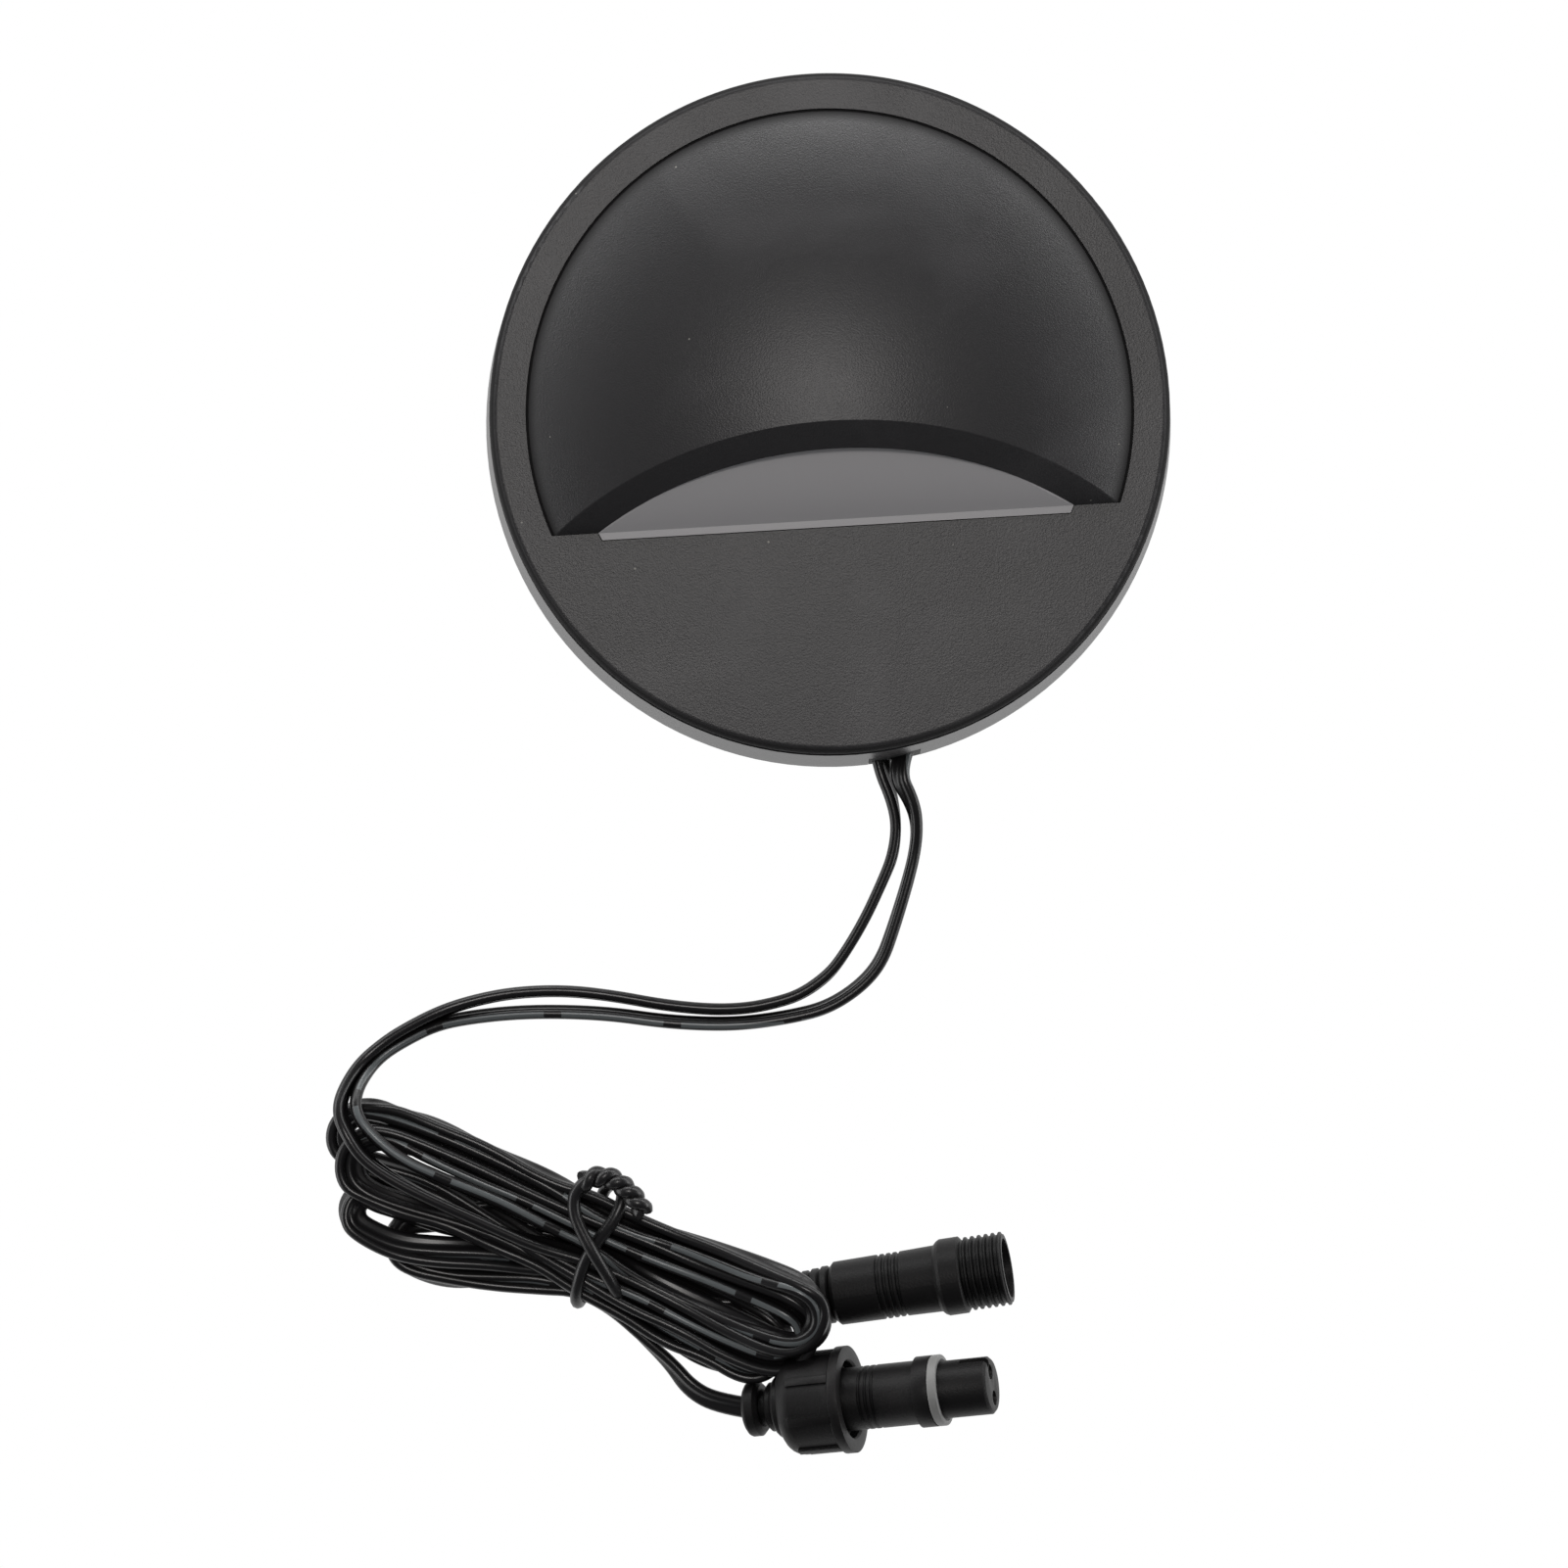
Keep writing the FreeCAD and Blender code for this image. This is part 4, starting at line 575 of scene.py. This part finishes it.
def smooth_line(name, points, resolution=7):
    """The points of a smooth route: a NURBS spline through control points given in millimetres."""
    data = bpy.data.curves.new(name, "CURVE")
    data.dimensions = "3D"
    data.resolution_u = resolution
    spline = data.splines.new("NURBS")
    spline.points.add(len(points) - 1)
    for target, point in zip(spline.points, points):
        target.co = (point[0] * MM, point[1] * MM, point[2] * MM, 1)
    spline.order_u = 3
    spline.use_endpoint_u = True
    route = bpy.data.objects.new(name, data)
    mesh = bpy.data.meshes.new_from_object(route)
    line = [v.co.copy() for v in mesh.vertices]
    bpy.data.meshes.remove(mesh)
    bpy.data.objects.remove(route)
    bpy.data.curves.remove(data)
    return line


def smooth_leans(name, leans):
    """The lean at each point of a route whose control points lean as given."""
    return [point.x / MM for point in smooth_line(name, [(lean, 0, 0) for lean in leans])]


CORE_STEPS = 11
CORE_OPEN = 42.0  # degrees at which the two cores' circles meet the web


def lead_section():
    """Two joined cores, one above the other: (across, up), from the striped core's right side round."""
    r = LEAD_T / 2 * MM
    points = []
    for centre, start in ((r, -CORE_OPEN), (-r, 180 - CORE_OPEN)):
        for i in range(CORE_STEPS):
            angle = math.radians(start + (180 + 2 * CORE_OPEN) * i / (CORE_STEPS - 1))
            points.append((r * math.cos(angle), centre + r * math.sin(angle)))
    return points


def swept(name, line, section, leans, material):
    """A closed tube along line; its UV map gives metres along it and the share round the section."""
    verts, faces, coords = [], [], []
    count, distance = len(section), 0.0
    for i, point in enumerate(line):
        if i:
            distance += (point - line[i - 1]).length
        way = (line[min(i + 1, len(line) - 1)] - line[max(i - 1, 0)]).normalized()
        side = way.cross(Vector((0, 0, 1))).normalized()
        up = side.cross(way)
        turn = math.radians(leans[i])
        across = side * math.cos(turn) + up * math.sin(turn)
        rise = up * math.cos(turn) - side * math.sin(turn)
        verts += [point + across * x + rise * y for x, y in section]
        coords.append(distance)
    for i in range(len(line) - 1):
        for j in range(count):
            k = (j + 1) % count
            faces.append((i * count + j, i * count + k, (i + 1) * count + k, (i + 1) * count + j))
    faces.append(tuple(range(count - 1, -1, -1)))
    faces.append(tuple((len(line) - 1) * count + j for j in range(count)))
    mesh = bpy.data.meshes.new(name)
    mesh.from_pydata(verts, [], faces)
    uv = mesh.uv_layers.new(name="along")
    for polygon in mesh.polygons:
        for loop in polygon.loop_indices:
            vertex = mesh.loops[loop].vertex_index
            share = (vertex % count) / count
            if polygon.index < len(faces) - 2 and polygon.index % count == count - 1 and share == 0:
                share = 1.0
            uv.data[loop].uv = (coords[vertex // count], share)
    mesh.shade_smooth()
    mesh.materials.append(material)
    piece = bpy.data.objects.new(name, mesh)
    scene.collection.objects.link(piece)
    return piece, distance


STRIPE_PITCH = 21.7
STRIPE_DASH = 18.5
STRIPE_START = 1.5
STRIPE_MIDDLE, STRIPE_HALF = 0.125, 0.05  # shares of the way round the section
STRIPE_GREY = (0.105, 0.115, 0.118)
# Near the light the stripe lies on the lead's side. It turns out there just past the gland, and
# most of the way back along the free run: where each turn starts and ends, and the share of a turn.
STRIPE_OUT = (2.0, 14.0, 0.29)
STRIPE_BACK = (48.0, 72.0, 0.2)


def jacket(name, striped):
    """Satin black jacket; a striped one has grey dashes along the shoulder of one core."""
    made = plastic(name, (0.0085, 0.008, 0.0085), 0.3, grain_size=1500.0, grain_depth=0.1, specular=0.42)
    if not striped:
        return made
    tree = made.node_tree
    shader = tree.nodes["Principled BSDF"]
    base = shader.inputs["Base Color"].links[0].from_socket
    place = tree.nodes.new("ShaderNodeUVMap")
    place.uv_map = "along"
    place = parted(tree, place.outputs["UV"])
    along, around = place["X"], place["Y"]
    beat = maths(tree, "MODULO", maths(tree, "ADD", along, STRIPE_START * MM), STRIPE_PITCH * MM)
    is_dash = maths(tree, "LESS_THAN", beat, STRIPE_DASH * MM)
    out, back = [maths(tree, "MULTIPLY", share_between(tree, along, starts * MM, ends * MM), turn)
                 for starts, ends, turn in (STRIPE_OUT, STRIPE_BACK)]
    unturned = maths(tree, "SUBTRACT", around, maths(tree, "SUBTRACT", out, back))
    on_core = maths(tree, "COMPARE", unturned, STRIPE_MIDDLE, STRIPE_HALF)
    painted = maths(tree, "MULTIPLY", is_dash, on_core)
    link(tree, blended(tree, painted, base, STRIPE_GREY), shader.inputs["Base Color"])
    return made


striped_jacket = jacket("striped_jacket", True)
plain_jacket = jacket("plain_jacket", False)

draw = random.Random(11)
JITTER = 14.0  # degrees
LEANS_A_EXIT, LEAN_A_RUN = (60, 48, 24, 4, 4, 6, 10), 14
LEANS_B_EXIT, LEAN_B_RUN = (-70, -40, -12, 0, -8, -4, -4, -4), -10
LEANS_B_TAIL = (10, 30, 55, 70, 76)
route_a = list(LEAD_A_FREE) + beside(waypoints, 1) + [in_hank(p) for p in LEAD_A_END]
route_b = list(LEAD_B_FREE) + beside(waypoints, -1) + [in_hank(p) for p in LEAD_B_START]
route_b += list(LEAD_B_TAIL)
leans_a = list(LEANS_A_EXIT) + [LEAN_A_RUN] * (len(LEAD_A_FREE) - len(LEANS_A_EXIT))
leans_a += [point[3] + draw.uniform(-JITTER, JITTER) for point in waypoints] + [p[3] for p in LEAD_A_END]
leans_b = list(LEANS_B_EXIT) + [LEAN_B_RUN] * (len(LEAD_B_FREE) - len(LEANS_B_EXIT))
leans_b += [draw.uniform(-3 * JITTER, 3 * JITTER) for _ in waypoints]
leans_b += [p[3] for p in LEAD_B_START] + list(LEANS_B_TAIL)
line_a = smooth_line("route_striped", route_a)
line_b = smooth_line("route_plain", route_b)
turns_a = smooth_leans("leans_striped", leans_a)
turns_b = smooth_leans("leans_plain", leans_b)
lead_a, length_a = swept("lead_striped_jacket", line_a, lead_section(), turns_a, striped_jacket)
lead_b, length_b = swept("lead_plain_jacket", line_b, lead_section(), turns_b, plain_jacket)

# ---- twist tie ----
# A plastic-coated wire wound twice round the hank. Its two strands cross on top, and its
# ends are twisted together in an open loop that stands off the hank's upper edge.
TIE_R = 1.15
TWIST_R = 0.85
TWIST_PITCH = 5.2
TIE_RING = (
    (-50.8, -132.9, 11.6), (-53.3, -134.5, 11.2), (-53.9, -138.2, 10.8), (-52.9, -141.6, 10.9),
    (-50.6, -146.4, 11.2), (-48.4, -150.8, 9.6), (-47.0, -154.2, 7.6), (-46.8, -156.6, 4.6),
    (-47.6, -155.6, 1.4), (-49.4, -150.0, 1.2), (-50.2, -142.0, 1.2), (-49.2, -136.4, 1.6),
    (-46.6, -134.4, 5.0), (-44.6, -136.0, 9.2), (-46.4, -140.2, 10.4), (-50.4, -144.6, 9.6),
    (-53.0, -148.6, 8.8), (-54.4, -153.0, 7.4), (-54.8, -156.2, 4.4), (-53.8, -155.6, 1.4),
    (-52.4, -150.0, 1.2), (-51.6, -142.0, 1.2),
)
TIE_LOOP = (
    (-51.8, -133.3, 11.4), (-49.4, -132.3, 11.6), (-46.6, -132.8, 11.7), (-44.2, -134.8, 11.8),
    (-42.4, -137.0, 12.0), (-41.3, -139.2, 12.0),
)
TIE_SIDES = 10
MESH, WHOLE, FINISH = "NodeSocketGeometry", "NodeSocketInt", "NodeSocketMaterial"


def vector_maths(tree, operation, *values):
    """A vector maths node; each value is a socket or a vector."""
    made = tree.nodes.new("ShaderNodeVectorMath")
    made.operation = operation
    for target, value in zip(made.inputs, values):
        feed(tree, value, target)
    return made.outputs[0]


def step(tree, kind, geometry=None, **sockets):
    """A geometry node: what goes into it first, and a socket or a value for each named input."""
    made = tree.nodes.new(kind)
    if geometry:
        link(tree, geometry, made.inputs[0])
    for name, value in sockets.items():
        feed(tree, value, made.inputs[name.replace("_", " ")])
    return made.outputs[0]


def wire_tree():
    """A round wire along a chain of edges, wound about it by Winding, with a turn in each Pitch."""
    inputs = {"Mesh": MESH, "Radius": NUMBER, "Sides": WHOLE, "Winding": NUMBER, "Pitch": NUMBER,
              "Start": NUMBER, "Finish": FINISH}
    tree, given, out = new_group("coated_wire", inputs, {"Mesh": MESH}, "GeometryNodeTree")
    way = tree.nodes.new("GeometryNodeInputTangent").outputs[0]
    side = vector_maths(tree, "NORMALIZE", vector_maths(tree, "CROSS_PRODUCT", way, (0, 0, 1)))
    up = vector_maths(tree, "CROSS_PRODUCT", side, way)
    length = tree.nodes.new("GeometryNodeSplineParameter").outputs["Length"]
    turns = maths(tree, "DIVIDE", length, given["Pitch"])
    angle = maths(tree, "MULTIPLY_ADD", turns, math.tau, given["Start"])
    reach = [maths(tree, "MULTIPLY", maths(tree, kind, angle), given["Winding"])
             for kind in ("COSINE", "SINE")]
    shift = vector_maths(tree, "MULTIPLY_ADD", up, reach[1], vector_maths(tree, "MULTIPLY", side, reach[0]))
    line = step(tree, "GeometryNodeMeshToCurve", given["Mesh"])
    line = step(tree, "GeometryNodeSetPosition", line, Offset=shift)
    circle = step(tree, "GeometryNodeCurvePrimitiveCircle", Resolution=given["Sides"],
                  Radius=given["Radius"])
    tube = step(tree, "GeometryNodeCurveToMesh", line, Profile_Curve=circle, Fill_Caps=True)
    tube = step(tree, "GeometryNodeSetShadeSmooth", tube)
    tube = step(tree, "GeometryNodeRealizeInstances", tube)
    link(tree, step(tree, "GeometryNodeSetMaterial", tube, Material=given["Finish"]), out["Mesh"])
    return tree


def made_plain(piece):
    """Turns a piece and its modifiers into a plain mesh."""
    made = bpy.data.meshes.new_from_object(piece.evaluated_get(bpy.context.evaluated_depsgraph_get()))
    piece.modifiers.clear()
    piece.data = made


def grown(name, tree, line=(), **sizes):
    """A piece that a geometry tree makes, along a line of points where it needs one, as a plain mesh."""
    mesh = bpy.data.meshes.new(name)
    mesh.from_pydata(line, [(i, i + 1) for i in range(len(line) - 1)], [])
    piece = bpy.data.objects.new(name, mesh)
    scene.collection.objects.link(piece)
    maker = piece.modifiers.new("maker", "NODES")
    maker.node_group = tree
    for socket in tree.interface.items_tree:
        if socket.in_out == "INPUT" and socket.name in sizes:
            maker[socket.identifier] = sizes[socket.name]
    made_plain(piece)
    return piece


tie_black = plastic("tie_black", (0.009, 0.0085, 0.009), 0.34, grain_size=1800.0, grain_depth=0.3)
WIRE = wire_tree()
tie_line = smooth_line("route_tie", TIE_RING)
loop_line = smooth_line("route_tie_loop", TIE_LOOP, 12)
for name, line, winding, start in (("tie_ring", tie_line, 0.0, 0.0),
                                   ("tie_twist_1", loop_line, TWIST_R, 0.0),
                                   ("tie_twist_2", loop_line, TWIST_R, math.pi)):
    piece = grown(name, WIRE, line, Radius=TIE_R * MM, Sides=TIE_SIDES, Winding=winding * MM,
                  Pitch=TWIST_PITCH * MM, Start=start, Finish=tie_black)
    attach(piece, "light")
    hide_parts("twist_tie")

# ---- pin connector ----
# The striped lead's end: a ribbed boot moulded on the lead, and a body with a threaded
# collar round two plated pins.
connector_black = plastic("connector_black", (0.007, 0.0066, 0.0068), 0.46, grain_size=2600.0,
                          grain_depth=0.5, mottle=0.2, specular=0.2)
# Painted shade darkens the connectors' hollows, besides faint smears.
marked(connector_black, smear=(60.0, 0.56, (0.028, 0.026, 0.026)), hollow=1.6)
paint(connector_black, "pin_connector_boot", "pin_connector_body")
contact_brass = metal("contact_brass", (0.72, 0.58, 0.32), 0.25, 5000.0)
paint(contact_brass, "contact_pins")

# ---- socket connector and coupling nut ----
# The plain lead's end: a grooved boot and a body with two sockets in its tip, a pale silicone
# ring that seals the joint, and a loose ribbed nut that draws the two connectors together.
# The body and the nut are turned here with softer edges, on the axis of their solids.
paint(connector_black, "socket_connector_boot")
paint(contact_brass, "socket_contacts")
seal_grey = plastic("seal_grey", (0.22, 0.22, 0.215), 0.5, grain_size=3000.0, grain_depth=0.1,
                    mottle=0.08)
paint(seal_grey, "connector_seal")

SOCKET_AT = Vector((-24.9, -176.5, 6.105))
SOCKET_HEADING, SOCKET_TILT = 5.9, 17.0
SOCKET_PLACE = (Matrix.Translation(SOCKET_AT * MM) @ Matrix.Rotation(math.radians(SOCKET_HEADING), 4, "Z")
                @ Matrix.Rotation(math.radians(-SOCKET_TILT), 4, "Y"))
TURN_STEPS = 96
SOFT_EDGE = 0.14
SOFT_FROM, SHARP_FROM = 35, 38  # degrees between two faces


def lathe(name, profile, hollow=False):
    """A turned piece from (along, radius) points; a hollow one's profile runs back along its bore."""
    verts, faces = [], []
    for along, radius in profile:
        for i in range(TURN_STEPS):
            angle = math.tau * i / TURN_STEPS
            verts.append((along * MM, radius * MM * math.cos(angle), radius * MM * math.sin(angle)))
    rows = len(profile)
    for row in range(rows if hollow else rows - 1):
        for i in range(TURN_STEPS):
            k = (i + 1) % TURN_STEPS
            here, after = row * TURN_STEPS, (row + 1) % rows * TURN_STEPS
            faces.append((here + i, here + k, after + k, after + i))
    if not hollow:
        faces.append(tuple(range(TURN_STEPS)))
        faces.append(tuple(range((rows - 1) * TURN_STEPS, rows * TURN_STEPS)))
    mesh = bpy.data.meshes.new(name)
    mesh.from_pydata(verts, [], faces)
    return finished(bpy.data.objects.new(name, mesh))


def bar(name, low, high):
    """A rectangular bar between two corners, in millimetres of the connector's own axis."""
    corners = [(x * MM, y * MM, z * MM)
               for x in (low[0], high[0]) for y in (low[1], high[1]) for z in (low[2], high[2])]
    faces = [(0, 1, 3, 2), (4, 6, 7, 5), (0, 4, 5, 1), (2, 3, 7, 6), (0, 2, 6, 4), (1, 5, 7, 3)]
    mesh = bpy.data.meshes.new(name)
    mesh.from_pydata(corners, [], faces)
    return finished(bpy.data.objects.new(name, mesh))


def finished(piece):
    """Puts the piece in the scene with its faces pointing outwards."""
    shape = bmesh.new()
    shape.from_mesh(piece.data)
    bmesh.ops.recalc_face_normals(shape, faces=shape.faces)
    shape.to_mesh(piece.data)
    shape.free()
    scene.collection.objects.link(piece)
    return piece


def combined(piece, others, operation):
    """Cuts the others out of the piece, or joins them to it, and deletes them."""
    for other in others:
        tool = piece.modifiers.new("tool", "BOOLEAN")
        tool.operation = operation
        tool.object = other
        tool.solver = "EXACT"
    made_plain(piece)
    for other in others:
        bpy.data.objects.remove(other)


def softened(piece, body, node_name):
    """Rounds the piece's edges, puts it on the connector's axis and gives it its finish."""
    edge = piece.modifiers.new("edge", "BEVEL")
    edge.width = SOFT_EDGE * MM
    edge.segments = 2
    edge.limit_method = "ANGLE"
    edge.angle_limit = math.radians(SOFT_FROM)
    made_plain(piece)
    piece.data.transform(SOCKET_PLACE)
    piece.data.shade_smooth()
    piece.data.set_sharp_from_angle(angle=math.radians(SHARP_FROM))
    piece.data.materials.clear()
    piece.data.materials.append(connector_black)
    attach(piece, body)
    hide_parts(node_name)


BODY_BACK_END, BODY_R, BODY_ROUND = 5.7, 5.55, 0.5
GRIP_STARTS, GRIP_W, GRIP_SLOPE, GRIP_DEEP = (22.0, 23.2, 24.4), 0.7, 0.2, 0.28
COLLAR_STARTS, COLLAR_ENDS, COLLAR_R, COLLAR_SLOPE = 32.3, 35.1, 6.2, 0.1
SEAT_ENDS, SEAT_R = 36.8, 5.4  # the seal sits here
TIP_END, TIP_R, TIP_ROUND = 45.5, 5.0, 0.5
body_profile = [(BODY_BACK_END, BODY_R - BODY_ROUND), (BODY_BACK_END + BODY_ROUND, BODY_R)]
for start in GRIP_STARTS:
    deep = BODY_R - GRIP_DEEP
    body_profile += [(start, BODY_R), (start + GRIP_SLOPE, deep), (start + GRIP_W - GRIP_SLOPE, deep),
                     (start + GRIP_W, BODY_R)]
body_profile += [(COLLAR_STARTS - COLLAR_SLOPE, BODY_R), (COLLAR_STARTS, COLLAR_R),
                 (COLLAR_ENDS, COLLAR_R), (COLLAR_ENDS, SEAT_R), (SEAT_ENDS, SEAT_R), (SEAT_ENDS, TIP_R),
                 (TIP_END - TIP_ROUND, TIP_R), (TIP_END, TIP_R - TIP_ROUND)]
socket_body = lathe("socket_body", body_profile)

CUT_PAST = 1.0  # how far a cutter stands out of the tip
SOCKET_HOLE_R, SOCKET_HOLE_DEEP, SOCKET_OFFSET = 1.3, 6.0, 2.3
KEY_DEEP, KEY_HALF_W, KEY_BOTTOM, KEY_TOP, KEY_TURN = 5.0, 0.7, 3.6, 6.0, -78
cutters = []
for side in (-1, 1):
    hole_profile = [(TIP_END - SOCKET_HOLE_DEEP, SOCKET_HOLE_R), (TIP_END + CUT_PAST, SOCKET_HOLE_R)]
    hole = lathe(f"hole_{side}", hole_profile)
    hole.data.transform(Matrix.Translation((0, side * SOCKET_OFFSET * MM, 0)))
    cutters.append(hole)
keyway = bar("keyway", (TIP_END - KEY_DEEP, -KEY_HALF_W, KEY_BOTTOM),
             (TIP_END + CUT_PAST, KEY_HALF_W, KEY_TOP))
keyway.data.transform(Matrix.Rotation(math.radians(KEY_TURN), 4, "X"))
combined(socket_body, cutters + [keyway], "DIFFERENCE")
softened(socket_body, "light", "socket_connector_body")

NUT_BACK_END, NUT_FRONT_END = 7.2, 19.6
NUT_SKIN, NUT_RIM, NUT_BORE, NUT_FIT = 8.9, 9.4, 6.75, 5.63  # radii
NUT_ROUND, NUT_ROUND_ANGLES = 3.1, (10, 25, 40, 55, 70, 90)
RIM_W, RIM_SLOPE, NUT_END_W = 2.0, 0.3, 3.4
MOUTH_DEEP, MOUTH_FLARE = 0.4, 0.3
RIDGES, RIDGE_PITCH, RIDGE_HALF_W, RIDGE_HIGH = 4, 1.9, 0.3, 0.35
nut_profile = []
for angle in NUT_ROUND_ANGLES:
    turn = math.radians(angle)
    nut_profile.append((NUT_BACK_END + NUT_ROUND * (1 - math.cos(turn)),
                        NUT_SKIN - NUT_ROUND * (1 - math.sin(turn))))
nut_profile += [(NUT_FRONT_END - RIM_W, NUT_SKIN), (NUT_FRONT_END - RIM_W + RIM_SLOPE, NUT_RIM),
                (NUT_FRONT_END, NUT_RIM), (NUT_FRONT_END, NUT_BORE + MOUTH_FLARE),
                (NUT_FRONT_END - MOUTH_DEEP, NUT_BORE)]
for i in range(RIDGES):
    ridge = NUT_FRONT_END - RIM_W - RIDGE_PITCH * i
    nut_profile += [(ridge, NUT_BORE), (ridge - RIDGE_HALF_W, NUT_BORE - RIDGE_HIGH),
                    (ridge - 2 * RIDGE_HALF_W, NUT_BORE)]
nut_profile += [(NUT_BACK_END + NUT_END_W, NUT_BORE), (NUT_BACK_END + NUT_END_W, NUT_FIT),
                (NUT_BACK_END, NUT_FIT)]
nut = lathe("nut_ribbed", nut_profile, hollow=True)


def rib_tree():
    """Like bars set evenly round the X axis, Reach from it, the first of them turned by Phase."""
    inputs = {"Mesh": MESH, "Count": WHOLE, "Size": VECTOR, "Along": NUMBER, "Reach": NUMBER,
              "Phase": NUMBER, "Finish": FINISH}
    tree, given, out = new_group("even_ribs", inputs, {"Mesh": MESH}, "GeometryNodeTree")
    middle = step(tree, "ShaderNodeCombineXYZ", X=given["Along"], Z=given["Reach"])
    rib = step(tree, "GeometryNodeMeshCube", Size=given["Size"])
    rib = step(tree, "GeometryNodeTransform", rib, Translation=middle)
    rib = step(tree, "GeometryNodeGeometryToInstance", rib)
    copies = tree.nodes.new("GeometryNodeDuplicateElements")
    copies.domain = "INSTANCE"
    link(tree, rib, copies.inputs["Geometry"])
    link(tree, given["Count"], copies.inputs["Amount"])
    spacing = maths(tree, "DIVIDE", math.tau, given["Count"])
    angle = maths(tree, "MULTIPLY_ADD", copies.outputs["Duplicate Index"], spacing, given["Phase"])
    turn = step(tree, "ShaderNodeCombineXYZ", X=angle)
    ribs = step(tree, "GeometryNodeRotateInstances", copies.outputs["Geometry"], Rotation=turn,
                Local_Space=False)
    ribs = step(tree, "GeometryNodeRealizeInstances", ribs)
    link(tree, step(tree, "GeometryNodeSetMaterial", ribs, Material=given["Finish"]), out["Mesh"])
    return tree


NUT_RIBS, RIB_PHASE = 8, 8.0
RIB_STARTS, RIB_ENDS = 10.1, 17.8
RIB_BOTTOM, RIB_TOP, RIB_W = 8.1, 9.35, 1.4
rib_size = Vector((RIB_ENDS - RIB_STARTS, RIB_W, RIB_TOP - RIB_BOTTOM)) * MM
ribs = grown("ribs", rib_tree(), Count=NUT_RIBS, Size=rib_size, Along=(RIB_STARTS + RIB_ENDS) / 2 * MM,
             Reach=(RIB_BOTTOM + RIB_TOP) / 2 * MM, Phase=math.radians(RIB_PHASE), Finish=connector_black)
combined(nut, [ribs], "UNION")
softened(nut, "coupling_nut", "coupling_nut")

# ---- the two cords, with what is on them ----
# Each lead is a free cord from the gland to its connector, laid as in the photograph. The striped
# one carries the pin connector, and the plain one the socket connector, the nut and the tie.
print(f"lengths: striped {length_a:.4f} m, plain {length_b:.4f} m")
for piece, replaced in ((lead_a, ("lead_striped", "lead_hank")), (lead_b, ("lead_plain", "lead_tail"))):
    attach(piece, "light")
    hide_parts(*replaced)
